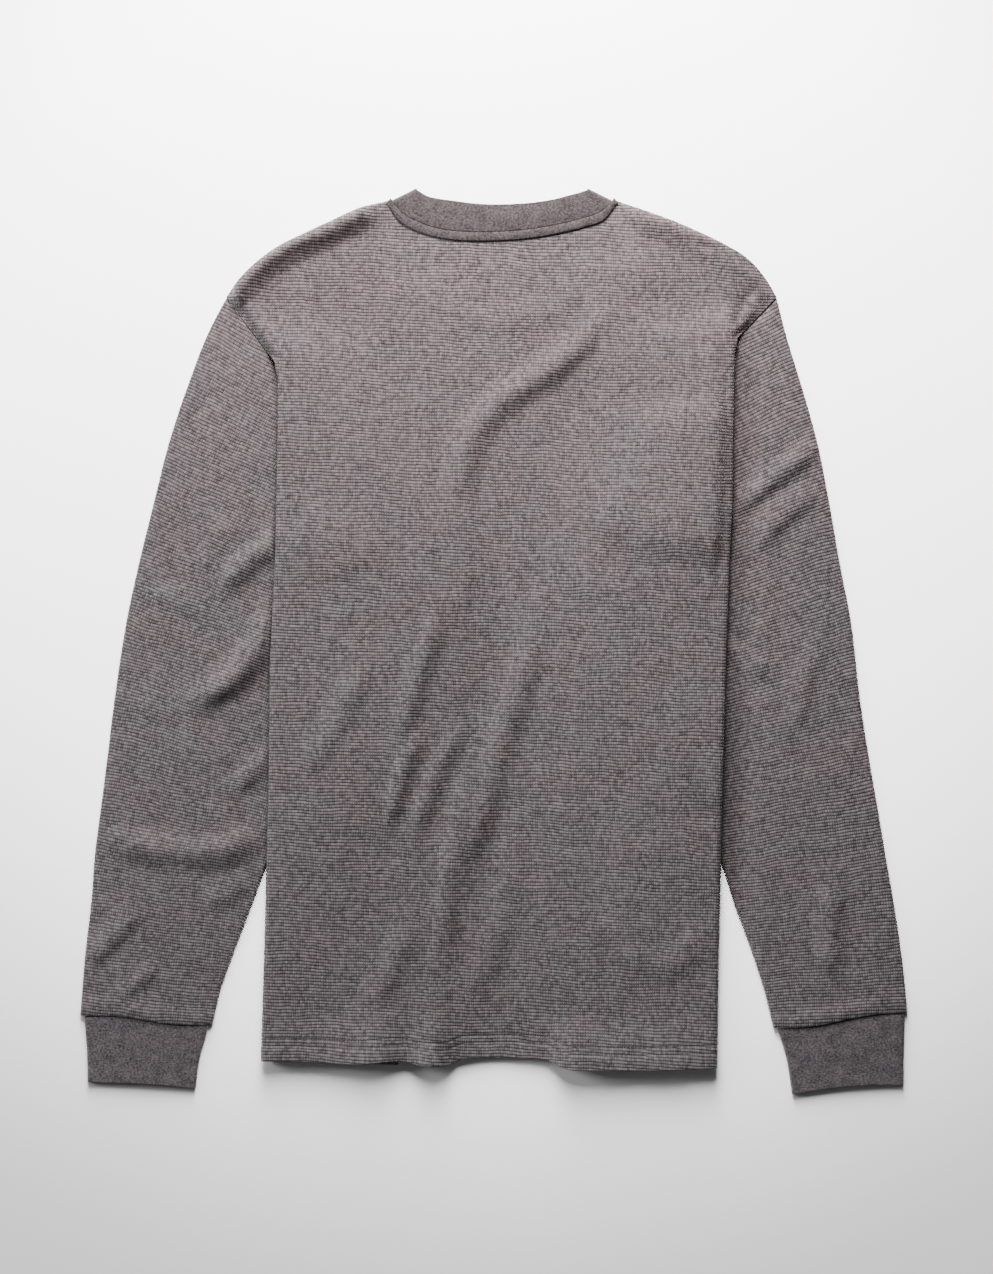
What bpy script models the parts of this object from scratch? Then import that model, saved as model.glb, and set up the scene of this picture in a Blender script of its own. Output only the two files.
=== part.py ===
"""A long-sleeve waffle-knit thermal top, laid flat on a surface with its back up.

The sides of the body are turned under, so each sleeve comes out from beneath the body.
Every piece is a wall of cloth through sections worked out from the sizes below. Sizes are in
millimetres and are turned to metres when a piece is made. X runs across the top, Y from hem to
neck, and the origin is the middle of the laid-out top on the surface that it lies on.
"""
import math
from collections import namedtuple

import bpy
import numpy as np

MM = 0.001
LEFT = -1
RIGHT = 1

# Cloth and how it lies
WALL = 1.3              # waffle knit
BAND_WALL = 1.9         # jersey, doubled into a cuff or neckband
TAPE_WALL = 1.0         # binding tape
SEAM_GAP = 0.4          # between the edges of two pieces that are sewn together
TOUCH_GAP = 0.3         # between a tape and the panel that it lies on
LAYER = 2.2             # from the middle of one laid layer to the middle of the next
FRONT_FOLD = 2.6        # the same inside the front panel's own side fold
SLEEVE_STACK = 4.2      # how far a flattened sleeve lifts what lies on it
FLAP_MARGIN = 5.0       # cloth stays lifted this far past a flap's end
SLEEVE_MARGIN = 14.0    # and this far past the edge of a sleeve under it
FLAP_RAMP = 60.0        # then comes down over this width beside a turned-under flap
SLEEVE_RAMP = 70.0      # and over this width beside a sleeve
FLAT = WALL / 2.0       # height of the middle of a wall that lies on the surface
FOLD_RADIUS = LAYER + FRONT_FOLD / 2.0
HIDDEN_INSET = 4.0      # the front's hem stays this far behind the back's

# Side folds: how far out the folded edge is at each height. Above the last two rows the fold
# leaves the cloth, where the armhole seam comes out from under the body.
FoldRow = namedtuple("FoldRow", "y out")
FOLD_ROWS = {
    LEFT: (
        FoldRow(-352.0, 195.1),
        FoldRow(-246.0, 191.8),
        FoldRow(-133.0, 188.9),
        FoldRow(-19.0, 187.6),
        FoldRow(70.0, 183.2),
        FoldRow(175.0, 181.0),
        FoldRow(220.0, 181.0),
        FoldRow(236.0, 184.5),
        FoldRow(250.0, 202.0),
        FoldRow(290.0, 250.0),
    ),
    RIGHT: (
        FoldRow(-357.0, 187.9),
        FoldRow(-246.0, 189.6),
        FoldRow(-133.0, 192.1),
        FoldRow(-19.0, 195.3),
        FoldRow(70.0, 198.4),
        FoldRow(117.0, 200.9),
        FoldRow(175.0, 201.4),
        FoldRow(240.0, 202.8),
        FoldRow(254.0, 205.5),
        FoldRow(265.0, 222.0),
        FoldRow(290.0, 265.0),
    ),
}

# Cut of the body: half width of the unfolded cloth, from hem up the side seam and the armhole
CutRow = namedtuple("CutRow", "y half_width")
CUT_ROWS = {
    LEFT: (
        CutRow(-352.0, 313.0),
        CutRow(68.8, 287.0),
        CutRow(100.0, 268.0),
        CutRow(150.0, 235.0),
        CutRow(200.0, 202.0),
        CutRow(223.0, 187.0),
        CutRow(235.0, 183.4),
        CutRow(289.7, 224.5),
    ),
    RIGHT: (
        CutRow(-357.0, 292.5),
        CutRow(68.8, 294.7),
        CutRow(100.0, 282.0),
        CutRow(150.0, 257.0),
        CutRow(200.0, 231.0),
        CutRow(240.0, 210.0),
        CutRow(254.4, 203.9),
        CutRow(289.7, 238.3),
    ),
}
# The front's armhole is cut this much deeper than the back's
ScoopRow = namedtuple("ScoopRow", "y left right")
SCOOP_ROWS = (
    ScoopRow(120.0, 0.0, 0.0),
    ScoopRow(172.0, 12.0, 16.0),
    ScoopRow(200.0, 16.2, 24.2),
    ScoopRow(238.0, 18.0, 26.0),
    ScoopRow(250.0, 3.0, 26.0),
    ScoopRow(256.0, 1.0, 26.0),
    ScoopRow(268.0, 0.0, 3.0),
    ScoopRow(289.7, 0.0, 0.0),
)
UNDERARM = {LEFT: (81.7, 68.8), RIGHT: (103.9, 68.8)}       # hidden under the body
FOLD_TOP = {LEFT: (183.4, 235.0), RIGHT: (203.9, 254.4)}    # where the armhole comes out
SHOULDER_TIP = {LEFT: (224.5, 289.7), RIGHT: (238.3, 289.7)}

# Shoulder line from the neck to the tip: its distance out at each height
ShoulderRow = namedtuple("ShoulderRow", "y left right")
SHOULDER_ROWS = (
    ShoulderRow(371.5, 87.6, 102.8),
    ShoulderRow(362.8, 114.8, 124.8),
    ShoulderRow(352.7, 136.5, 152.3),
    ShoulderRow(342.6, 158.3, 175.6),
    ShoulderRow(332.6, 178.6, 196.3),
    ShoulderRow(322.5, 193.6, 212.6),
    ShoulderRow(312.4, 205.2, 223.4),
    ShoulderRow(302.3, 214.6, 230.9),
    ShoulderRow(289.7, 224.5, 238.3),
)

# Hem edge of the back panel across the top layer, and of its turned-under flap
HemRow = namedtuple("HemRow", "x y")
HEM_ROWS = (
    HemRow(-195.1, -351.2),
    HemRow(-155.7, -352.0),
    HemRow(-113.7, -353.7),
    HemRow(-76.7, -351.6),
    HemRow(-60.0, -354.9),
    HemRow(-48.1, -354.9),
    HemRow(-28.0, -350.0),
    HemRow(0.2, -349.2),
    HemRow(42.6, -350.2),
    HemRow(59.8, -357.1),
    HemRow(87.9, -359.6),
    HemRow(128.3, -360.0),
    HemRow(187.9, -357.1),
)
FLAP_HEM = {LEFT: -355.3, RIGHT: -353.0}     # at the side seam, under the body

# Back neck, section by section: the band's seam edge and its free top edge
NeckRow = namedtuple("NeckRow", "seam_x seam_y top_x top_y")
NECK_ROWS = (
    NeckRow(-84.2, 369.2, -63.7, 379.5),
    NeckRow(-75.9, 360.8, -55.8, 374.9),
    NeckRow(-62.4, 353.0, -45.0, 372.4),
    NeckRow(-47.3, 348.0, -32.0, 370.6),
    NeckRow(-22.1, 345.0, -14.5, 368.4),
    NeckRow(3.0, 345.1, 4.0, 367.7),
    NeckRow(28.0, 346.9, 26.0, 368.6),
    NeckRow(52.0, 350.8, 46.0, 371.0),
    NeckRow(75.3, 356.4, 62.0, 374.9),
    NeckRow(90.5, 361.8, 71.5, 377.4),
    NeckRow(98.8, 369.2, 78.3, 379.4),
)
NECK_MIDDLE = 7.3
FRONT_NECK_SEAM = (91.5, 369.2, 98.3)        # half width, height of its ends, depth
FRONT_NECK_EDGE = (71.0, 379.5, 84.5)
BACK_BAND_HEIGHT = 4.0                       # middle of the band's back half above the surface
TAPE_WIDTH = 7.2
TAPE_END = 0.5          # its ends taper to this part of its width
TAPE_TAPER = 22.0       # over this length

# Sleeves: outer folded edge and inner (underarm seam) edge, from armhole to cuff
SleeveRow = namedtuple("SleeveRow", "along outer_x outer_y inner_x inner_y")
SLEEVE_ROWS = {
    LEFT: (
        SleeveRow(0.000, 224.5, 289.7, 81.7, 68.8),
        SleeveRow(0.050, 238.9, 262.0, 89.9, 49.5),
        SleeveRow(0.125, 255.7, 219.2, 102.3, 20.5),
        SleeveRow(0.210, 272.2, 169.6, 116.2, -12.2),
        SleeveRow(0.295, 285.0, 119.2, 130.3, -45.3),
        SleeveRow(0.380, 297.4, 68.8, 144.4, -78.4),
        SleeveRow(0.465, 308.3, 18.4, 158.1, -110.6),
        SleeveRow(0.570, 318.6, -48.8, 175.4, -151.1),
        SleeveRow(0.655, 324.8, -99.2, 189.4, -184.0),
        SleeveRow(0.740, 331.6, -151.3, 201.0, -215.0),
        SleeveRow(0.780, 334.6, -174.8, 207.0, -231.0),
        SleeveRow(0.850, 337.9, -216.8, 217.4, -258.0),
        SleeveRow(0.930, 343.6, -267.2, 229.0, -291.0),
        SleeveRow(1.000, 347.2, -314.2, 236.0, -321.0),
    ),
    RIGHT: (
        SleeveRow(0.000, 238.3, 289.7, 103.9, 68.8),
        SleeveRow(0.050, 245.2, 262.0, 110.7, 49.2),
        SleeveRow(0.125, 258.9, 216.6, 120.8, 19.8),
        SleeveRow(0.210, 271.9, 169.6, 132.3, -13.4),
        SleeveRow(0.295, 282.0, 119.2, 143.8, -46.5),
        SleeveRow(0.380, 290.8, 68.8, 155.4, -80.0),
        SleeveRow(0.465, 300.4, 18.4, 167.0, -113.6),
        SleeveRow(0.570, 308.4, -48.8, 181.0, -154.2),
        SleeveRow(0.655, 316.2, -99.2, 192.6, -187.6),
        SleeveRow(0.740, 325.0, -149.6, 203.0, -221.0),
        SleeveRow(0.780, 328.8, -173.0, 208.6, -236.0),
        SleeveRow(0.850, 336.0, -215.0, 219.0, -265.0),
        SleeveRow(0.930, 343.4, -264.0, 228.9, -297.0),
        SleeveRow(1.000, 348.2, -311.7, 235.4, -324.3),
    ),
}
SLEEVE_LOFT = 2.6       # how much a sleeve stands up in its middle, clear of the body
LOFT_START = 6.0        # from this far out of the body's edge
LOFT_REACH = 30.0       # and in full this much further
RISE_REACH = 42.0       # length over which a sleeve comes down from the raised body
RISE_START = 14.0       # and how far above the fold's top it is raised in full
UNDER_RISE = 0.8        # part of that rise that its lower layer takes
ARMHOLE_GAP = 0.6       # between the sleeve's edge and the body's
ELBOW_ROW = 8           # the hidden underarm edge runs straight from the armhole to this row
CUFF_SEAM_WAVE = -2.0   # slow wave of the seam across the sleeve
WAVE_REACH = 0.12       # part of the sleeve's length that follows the wave

# Cuffs, from the seam to the free end. Bow and wave move a section's middle and quarters along.
CuffRow = namedtuple("CuffRow", "outer_x outer_y inner_x inner_y bow wave")
CUFF_ROWS = {
    LEFT: (
        CuffRow(344.0, -314.9, 239.4, -321.3, 0.0, -2.0),
        CuffRow(342.6, -329.0, 242.6, -334.0, 0.3, -2.1),
        CuffRow(341.6, -343.0, 246.4, -347.0, 0.7, -1.7),
        CuffRow(341.2, -356.5, 248.6, -361.4, 1.0, -0.8),
        CuffRow(341.0, -369.9, 250.2, -375.0, 1.4, 0.0),
    ),
    RIGHT: (
        CuffRow(345.8, -312.5, 238.6, -324.7, 0.0, -2.0),
        CuffRow(345.4, -328.0, 243.2, -338.0, 0.6, -1.6),
        CuffRow(345.0, -343.0, 246.8, -351.5, 1.2, -1.0),
        CuffRow(344.8, -358.0, 249.2, -366.0, 2.0, -0.5),
        CuffRow(344.7, -372.2, 251.2, -380.4, 3.0, 0.0),
    ),
}
CUFF_LOFT = 1.0
CUFF_LAYER = 2.6

# Largest folds: a ridge through three places, its height, and the width of the flank on its
# left and on its right, seen from its start to its end
Ridge = namedtuple("Ridge", "x1 y1 x2 y2 x3 y3 height left_flank right_flank")
BACK_RIDGES = (
    Ridge(93.0, 272.0, 14.0, 208.0, -28.0, 128.0, 6.8, 15.0, 24.0),
    Ridge(-40.0, 27.0, -68.0, -62.0, -92.0, -155.0, 3.6, 12.0, 20.0),
    Ridge(46.0, 22.0, 10.0, -92.0, -24.0, -200.0, 4.6, 14.0, 24.0),
    Ridge(-20.0, -72.0, -42.0, -112.0, -60.0, -165.0, 3.4, 12.0, 18.0),
    Ridge(-109.0, -22.0, -134.0, -68.0, -159.0, -114.0, 3.0, 15.0, 22.0),
)
SLEEVE_RIDGES = {
    LEFT: (
        Ridge(-180.0, 32.0, -207.0, -18.0, -242.0, -46.0, 7.0, 13.0, 22.0),
        Ridge(-334.0, -165.0, -276.0, -173.0, -196.0, -157.0, 5.0, 17.0, 24.0),
    ),
    RIGHT: (
        Ridge(276.0, 164.0, 247.0, 148.0, 212.0, 120.0, 5.0, 11.0, 22.0),
    ),
}

# How finely the walls are divided
BODY_ROW_COUNT = 20         # from the hem to the first of the rows where the folds begin
ROLL_ROWS = (200.0, 210.0, 219.0, 227.0, 235.0, 242.0, 248.5, 255.0, 264.0, 276.0, 289.7)
NECK_COLUMNS = 6            # from the middle to the neck point, each side
SHOULDER_COLUMNS = 8        # from there to the side fold
FOLD_COLUMNS = 5            # round a side fold
FLAP_COLUMNS = 4
SLEEVE_ROW_COUNT = 17
SLEEVE_COLUMNS = 12
SLEEVE_FOLD_COLUMNS = 3
LEAST_COLUMN = 1.6          # narrowest column of the back, where its flap ends
LEAST_FRONT_COLUMN = 0.5
NEAR_FOLD = 12.0            # a flap's first column lies this close to its fold
INSET_FADE = 6              # the front's hem inset dies out up the panel
ROW_CURVE = 14              # rows are level low down and follow the shoulders near the top
BAND_STEPS = (0.0, 0.5, 1.0)        # across the neckband and the tape
CORNER_TURNS = (45.0, 90.0, 135.0)  # round the neckband's turn at a neck point, in degrees
RIDGE_PLACES = 33           # a ridge's line is read at this many places
RIDGE_TAPER = 0.6           # the lower, the blunter a ridge's two ends
SLEEVE_BOW = 0.5            # the lower, the flatter a sleeve's middle


# ---------------------------------------------------------------- curves

def smooth_step(value):
    """0 below 0, 1 above 1, and a soft S between."""
    t = np.clip(value, 0.0, 1.0)
    return t * t * (3.0 - 2.0 * t)


def smooth_through(places, values, at):
    """A soft curve through the rows of a table, read at one or more places."""
    places = np.asarray(places, float)
    values = np.asarray(values, float)
    at = np.asarray(at, float)
    slopes = np.gradient(values, places)
    cell = np.clip(np.searchsorted(places, at) - 1, 0, len(places) - 2)
    width = places[cell + 1] - places[cell]
    t = np.clip((at - places[cell]) / width, 0.0, 1.0)
    rest = 1.0 - t
    start = (1.0 + 2.0 * t) * rest * rest * values[cell] + t * rest * rest * width * slopes[cell]
    end = t * t * (3.0 - 2.0 * t) * values[cell + 1] - t * t * rest * width * slopes[cell + 1]
    return start + end


def column(rows, name):
    return [getattr(row, name) for row in rows]


def ridge_height(ridges, x, y):
    """Height that a list of ridges adds at places x, y."""
    total = np.zeros(np.shape(x))
    along = np.linspace(0.0, 1.0, RIDGE_PLACES)
    for ridge in ridges:
        line_x = smooth_through((0.0, 0.5, 1.0), (ridge.x1, ridge.x2, ridge.x3), along)
        line_y = smooth_through((0.0, 0.5, 1.0), (ridge.y1, ridge.y2, ridge.y3), along)
        away_x = np.asarray(x)[..., None] - line_x
        away_y = np.asarray(y)[..., None] - line_y
        nearest = np.argmin(away_x ** 2 + away_y ** 2, axis=-1)
        off_x = np.take_along_axis(away_x, nearest[..., None], -1)[..., 0]
        off_y = np.take_along_axis(away_y, nearest[..., None], -1)[..., 0]
        run_x = np.gradient(line_x)[nearest]
        run_y = np.gradient(line_y)[nearest]
        side = run_x * off_y - run_y * off_x
        flank = np.where(side > 0.0, ridge.left_flank, ridge.right_flank)
        across = np.clip(np.hypot(off_x, off_y) / flank, 0.0, 1.0)
        taper = np.sin(math.pi * np.clip(along[nearest], 0.0, 1.0)) ** RIDGE_TAPER
        total = np.maximum(total, ridge.height * taper * 0.5 * (1.0 + np.cos(math.pi * across)))
    return total


# ---------------------------------------------------------------- lie of the body

def fold_out(side, y):
    """Distance out of the middle of the wall at the folded edge."""
    rows = FOLD_ROWS[side]
    return np.interp(y, column(rows, "y"), column(rows, "out")) - WALL / 2.0


def cut_half_width(side, y):
    rows = CUT_ROWS[side]
    return np.interp(y, column(rows, "y"), column(rows, "half_width"))


def flap_end(side, y):
    """Distance out of the flap's end: the hidden side seam."""
    bend = (math.pi - 2.0) * FOLD_RADIUS
    return 2.0 * fold_out(side, y) - cut_half_width(side, y) + bend


def past_armhole(side, out, y):
    """Distance past the hidden armhole line, towards the middle of the body."""
    top_out, top_y = FOLD_TOP[side]
    under_out, under_y = UNDERARM[side]
    length = math.hypot(top_out - under_out, top_y - under_y)
    across = (top_y - under_y) / length
    up = (top_out - under_out) / length
    return -(out - top_out) * across + (y - top_y) * up


def past_sleeve_edge(side, out, y):
    """Distance past the sleeve's hidden underarm edge, downwards and towards the middle."""
    under_out, under_y = UNDERARM[side]
    elbow = SLEEVE_ROWS[side][ELBOW_ROW]
    length = math.hypot(elbow.inner_x - under_out, elbow.inner_y - under_y)
    across = (under_y - elbow.inner_y) / length
    down = (elbow.inner_x - under_out) / length
    return -(out - under_out) * across - (y - under_y) * down


def raised_part(side, y):
    """1 beside the fold, down to 0 at the shoulder tip, where the body meets the sleeve."""
    top_y = FOLD_TOP[side][1]
    return smooth_step((SHOULDER_TIP[side][1] - y) / (SHOULDER_TIP[side][1] - top_y))


def sleeve_lift(side, out, y):
    edge = smooth_step(1.0 - (past_sleeve_edge(side, out, y) - SLEEVE_MARGIN) / SLEEVE_RAMP)
    end = smooth_step(1.0 - (past_armhole(side, out, y) - FLAP_MARGIN) / FLAP_RAMP)
    return SLEEVE_STACK * edge * end * raised_part(side, y)


def flap_lift(side, out, y):
    below = flap_end(side, np.minimum(y, UNDERARM[side][1])) - out
    past = np.maximum(below, past_armhole(side, out, y))
    cover = smooth_step(1.0 - (past - FLAP_MARGIN) / FLAP_RAMP)
    return (LAYER + FRONT_FOLD) * cover * raised_part(side, y)


def front_height(side, out, y):
    return FLAT + sleeve_lift(side, out, y) + flap_lift(side, out, y)


def back_height(side, out, y):
    return front_height(side, out, y) + LAYER + ridge_height(BACK_RIDGES, side * out, y)


def flap_height(side, out, y):
    return FLAT + sleeve_lift(side, out, y)


# ---------------------------------------------------------------- body panels

def shoulder_y(side, out):
    name = "left" if side == LEFT else "right"
    return smooth_through(column(SHOULDER_ROWS, name), column(SHOULDER_ROWS, "y"), out)


def neck_line(points):
    """The panel's edge round the neck: a band's seam line moved down by a seam's gap."""
    points = np.asarray(points, float)
    run = np.gradient(points, axis=0)
    length = np.hypot(run[:, 0], run[:, 1])
    down = np.stack((run[:, 1], -run[:, 0]), axis=-1) / length[:, None]
    return points + down * SEAM_GAP


def neck_turns():
    """Angles of the band's sections about the neck, from the left neck point to the right."""
    middle = math.acos(NECK_MIDDLE / FRONT_NECK_SEAM[0])
    left = np.linspace(0.0, middle, NECK_COLUMNS + 1)
    right = np.linspace(middle, math.pi, NECK_COLUMNS + 1)
    return np.concatenate((left, right[1:]))


def front_neck_section(turn):
    """Seam point and free edge point of the front half of the band."""
    points = []
    for half_width, end_y, depth in (FRONT_NECK_SEAM, FRONT_NECK_EDGE):
        points.append((NECK_MIDDLE - half_width * math.cos(turn), end_y - depth * math.sin(turn)))
    return np.array(points)


def back_neck_section(turn):
    """Seam point and free edge point of the back half, straight above the front half's."""
    seam_x = NECK_MIDDLE - FRONT_NECK_SEAM[0] * math.cos(turn)
    places = column(NECK_ROWS, "seam_x")
    rest = [float(smooth_through(places, column(NECK_ROWS, name), seam_x))
            for name in ("seam_y", "top_x", "top_y")]
    return np.array(((seam_x, rest[0]), (rest[1], rest[2])))


def back_neck_line():
    return neck_line([back_neck_section(turn)[0] for turn in neck_turns()])


def front_neck_line():
    return neck_line([front_neck_section(turn)[0] for turn in neck_turns()])


def neck_columns(side):
    """Distances out of a panel's columns inside the neck point: at the band's sections."""
    out = [side * front_neck_section(turn)[0][0] for turn in neck_turns()[1:-1]]
    return np.sort([max(place, 0.0) for place in out if place > -LEAST_COLUMN])


def neck_point_out(side):
    return SHOULDER_ROWS[0].left if side == LEFT else SHOULDER_ROWS[0].right


def top_edge_y(side, out, line):
    neck_point = neck_point_out(side)
    inside = out < neck_point - LEAST_COLUMN / 2.0
    on_neck = np.interp(side * out, line[:, 0], line[:, 1])
    return np.where(inside, on_neck, shoulder_y(side, np.maximum(out, neck_point)))


def hem_y(side, out):
    return smooth_through(column(HEM_ROWS, "x"), column(HEM_ROWS, "y"), side * out)


def half_columns(side, y, cloth):
    """Distances along the cloth from the middle to its edge, closer together at the fold."""
    start = fold_out(side, y) - FOLD_RADIUS
    whole = cut_half_width(side, y)
    inner_turn = np.clip((whole - start) / FOLD_RADIUS, 0.0, math.pi)
    whole -= (FOLD_RADIUS - cloth.radius) * inner_turn + cloth.scoop(side, y)
    least_bend = FOLD_COLUMNS * cloth.least_column
    least_flap = FLAP_COLUMNS * cloth.least_column
    bend = min(max(whole - start - least_flap, least_bend), math.pi * cloth.radius)
    flap = max(whole - start - bend, least_flap)
    top = whole - bend - flap
    shoulder = np.linspace(neck_point_out(side), top, SHOULDER_COLUMNS + 1)
    fold_part = top + bend * np.arange(1, FOLD_COLUMNS + 1) / FOLD_COLUMNS
    first = min(flap / FLAP_COLUMNS, NEAR_FOLD)
    flap_part = top + bend + np.linspace(first, flap, FLAP_COLUMNS)
    return np.concatenate((neck_columns(side), shoulder, fold_part, flap_part))


def lay_half_row(side, part, cloth):
    """Points of one side of one row, from the middle out, round the fold and under.

    part is how far up the panel the row is: 0 at the hem, 1 at the shoulder.
    """
    inset = cloth.inset * (1.0 - part) ** INSET_FADE
    edge_hem = FLAP_HEM[side] + inset
    edge_y = edge_hem + part * (SHOULDER_TIP[side][1] - edge_hem)
    along = half_columns(side, edge_y, cloth)
    tip_columns = half_columns(side, SHOULDER_TIP[side][1], cloth)
    top_y = top_edge_y(side, tip_columns, cloth.neck_line)
    start = fold_out(side, edge_y) - FOLD_RADIUS
    on_top = np.minimum(along, start)
    beyond = np.clip((along - start) / np.maximum(along[-1] - start, 1.0), 0.0, 1.0)
    under_hem = (hem_y(side, start) + inset) * (1.0 - beyond) + edge_hem * beyond
    low_y = np.where(along > start, under_hem, hem_y(side, on_top) + inset)
    tip_y = SHOULDER_TIP[side][1]
    y = low_y + part * (tip_y - low_y) + part ** ROW_CURVE * (top_y - tip_y)

    turn = np.clip((along - start) / cloth.radius, 0.0, math.pi)
    under = np.maximum(along - start - math.pi * cloth.radius, 0.0)
    out = np.where(along < start, along, start + cloth.radius * np.sin(turn) - under)
    upper = cloth.upper(side, np.minimum(along, start), y)
    lower = cloth.lower(side, np.minimum(out, start), y)
    bend_height = (upper + lower) / 2.0 + (upper - lower) / 2.0 * np.cos(turn)
    z = np.where(along < start, upper, np.where(under > 0.0, lower, bend_height))
    return np.stack((side * out, y, z), axis=-1)


BodyCloth = namedtuple("BodyCloth", "radius least_column inset scoop neck_line upper lower")


def body_rows():
    """How far up the panel each row is, closer together where the folds begin."""
    edge = [FLAP_HEM[LEFT] + (ROLL_ROWS[0] - FLAP_HEM[LEFT]) * step / BODY_ROW_COUNT
            for step in range(BODY_ROW_COUNT)]
    low = FLAP_HEM[LEFT]
    return [(y - low) / (SHOULDER_TIP[LEFT][1] - low) for y in edge + list(ROLL_ROWS)]


def body_panel(cloth):
    rows = []
    for part in body_rows():
        left = lay_half_row(LEFT, part, cloth)
        right = lay_half_row(RIGHT, part, cloth)
        middle = (left[:1] + right[:1]) / 2.0
        rows.append(np.concatenate((left[:0:-1], middle, right[1:])))
    return np.array(rows)


def front_scoop(side, y):
    name = "left" if side == LEFT else "right"
    return np.interp(y, column(SCOOP_ROWS, "y"), column(SCOOP_ROWS, name))


def back_cloth():
    return BodyCloth(FOLD_RADIUS, LEAST_COLUMN, 0.0, lambda side, y: 0.0, back_neck_line(),
                     back_height, flap_height)


def front_cloth():
    """The front lies inside the back's side folds."""
    def front_flap_height(side, out, y):
        return flap_height(side, out, y) + LAYER

    return BodyCloth(FRONT_FOLD / 2.0, LEAST_FRONT_COLUMN, HIDDEN_INSET, front_scoop,
                     front_neck_line(), front_height, front_flap_height)


# ---------------------------------------------------------------- sleeves and cuffs

def armhole_point(side, part):
    """Place on the armhole line: part 0 at the underarm, 1 at the shoulder tip."""
    under_out, under_y = UNDERARM[side]
    top_out, top_y = FOLD_TOP[side]
    y = under_y + part * (SHOULDER_TIP[side][1] - under_y)
    hidden = under_out + (y - under_y) * (top_out - under_out) / (top_y - under_y)
    return np.where(y > top_y, cut_half_width(side, y), hidden), y


def closed_section(width, upper, lower, wall):
    """Across and height round a flattened tube, from the inner edge over the top and back.

    upper and lower are heights of the middle of the wall, as functions of the place across.
    """
    radius = (float(upper(0.0)) - float(lower(0.0))) / 2.0
    inner = wall / 2.0 + radius
    outer = width - inner
    over = np.linspace(inner, outer, SLEEVE_COLUMNS + 1)
    back = over[::-1]
    turns = math.pi * np.arange(1, SLEEVE_FOLD_COLUMNS) / SLEEVE_FOLD_COLUMNS
    across = np.concatenate((
        over, outer + radius * np.sin(turns), back, inner - radius * np.sin(turns)))
    place = np.clip(across / width, 0.0, 1.0)
    high = upper(place)
    low = lower(place)
    swing = np.concatenate((
        np.ones(len(over)), np.cos(turns), -np.ones(len(back)), -np.cos(turns)))
    return across, (high + low) / 2.0 + swing * (high - low) / 2.0


def sleeve_top_shape(side, out, y, place):
    """Height of the sleeve's upper layer above its lower one, and of the lower one's lift."""
    top_y = FOLD_TOP[side][1]
    clear = np.maximum(out - fold_out(side, np.minimum(y, top_y)), y - top_y)
    free = smooth_step((clear - LOFT_START) / LOFT_REACH)
    bow = np.sin(math.pi * place) ** SLEEVE_BOW
    ridges = ridge_height(SLEEVE_RIDGES[side], side * out, y) * free
    body_rise = raised_part(side, y) * (SLEEVE_STACK + LAYER + FRONT_FOLD)
    near = smooth_step(1.0 + past_armhole(side, out, y) / RISE_REACH)
    rise = body_rise * near * smooth_step((y - top_y) / RISE_START)
    return LAYER + SLEEVE_LOFT * free * bow * (1.0 - near) + ridges, rise


def sleeve(side):
    rows = []
    table = SLEEVE_ROWS[side]
    for along in np.linspace(0.0, 1.0, SLEEVE_ROW_COUNT + 1):
        outer = np.array([smooth_through(column(table, "along"), column(table, name), along)
                          for name in ("outer_x", "outer_y")])
        inner = np.array([smooth_through(column(table, "along"), column(table, name), along)
                          for name in ("inner_x", "inner_y")])
        width = float(np.hypot(*(outer - inner)))
        across_way = (outer - inner) / width
        down_way = np.array((across_way[1], -across_way[0]))
        follow = float(smooth_step(1.0 - along / (2.0 * WAVE_REACH)))
        wave = CUFF_SEAM_WAVE * float(smooth_step((along - 1.0) / WAVE_REACH + 1.0))

        def place_of(part):
            straight = inner + np.multiply.outer(part, outer - inner)
            line_x, line_y = armhole_point(side, part)
            bent = np.stack((line_x, line_y), axis=-1)
            ends = np.array(UNDERARM[side]), np.array(SHOULDER_TIP[side])
            chord = ends[0] + np.multiply.outer(part, ends[1] - ends[0])
            shift = np.multiply.outer(wave * np.sin(2.0 * math.pi * part), -down_way)
            gap = down_way * ARMHOLE_GAP * (1.0 if along == 0.0 else 0.0)
            return straight + (bent - chord) * follow + shift + gap

        def upper(part):
            xy = place_of(np.asarray(part, float))
            height, rise = sleeve_top_shape(side, xy[..., 0], xy[..., 1], part)
            return FLAT + height + rise

        def lower(part):
            xy = place_of(np.asarray(part, float))
            rise = sleeve_top_shape(side, xy[..., 0], xy[..., 1], part)[1]
            return FLAT + UNDER_RISE * rise

        across, height = closed_section(width, upper, lower, WALL)
        xy = place_of(across / width)
        rows.append(np.stack((side * xy[..., 0], xy[..., 1], height), axis=-1))
    return np.array(rows)


def cuff(side):
    rows = []
    for row in CUFF_ROWS[side]:
        outer = np.array((row.outer_x, row.outer_y))
        inner = np.array((row.inner_x, row.inner_y))
        width = float(np.hypot(*(outer - inner)))
        across_way = (outer - inner) / width
        down_way = np.array((across_way[1], -across_way[0]))

        def upper(part):
            return BAND_WALL / 2.0 + CUFF_LAYER + CUFF_LOFT * np.sin(math.pi * np.asarray(part))

        def lower(part):
            return np.full(np.shape(part), BAND_WALL / 2.0)

        across, height = closed_section(width, upper, lower, BAND_WALL)
        part = across / width
        up = row.bow * np.sin(math.pi * part) + row.wave * np.sin(2.0 * math.pi * part)
        gap = SEAM_GAP if row is CUFF_ROWS[side][0] else 0.0
        xy = inner + np.multiply.outer(part, outer - inner) - np.multiply.outer(up - gap, down_way)
        rows.append(np.stack((side * xy[..., 0], xy[..., 1], height), axis=-1))
    return np.array(rows)


# ---------------------------------------------------------------- neck

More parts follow.
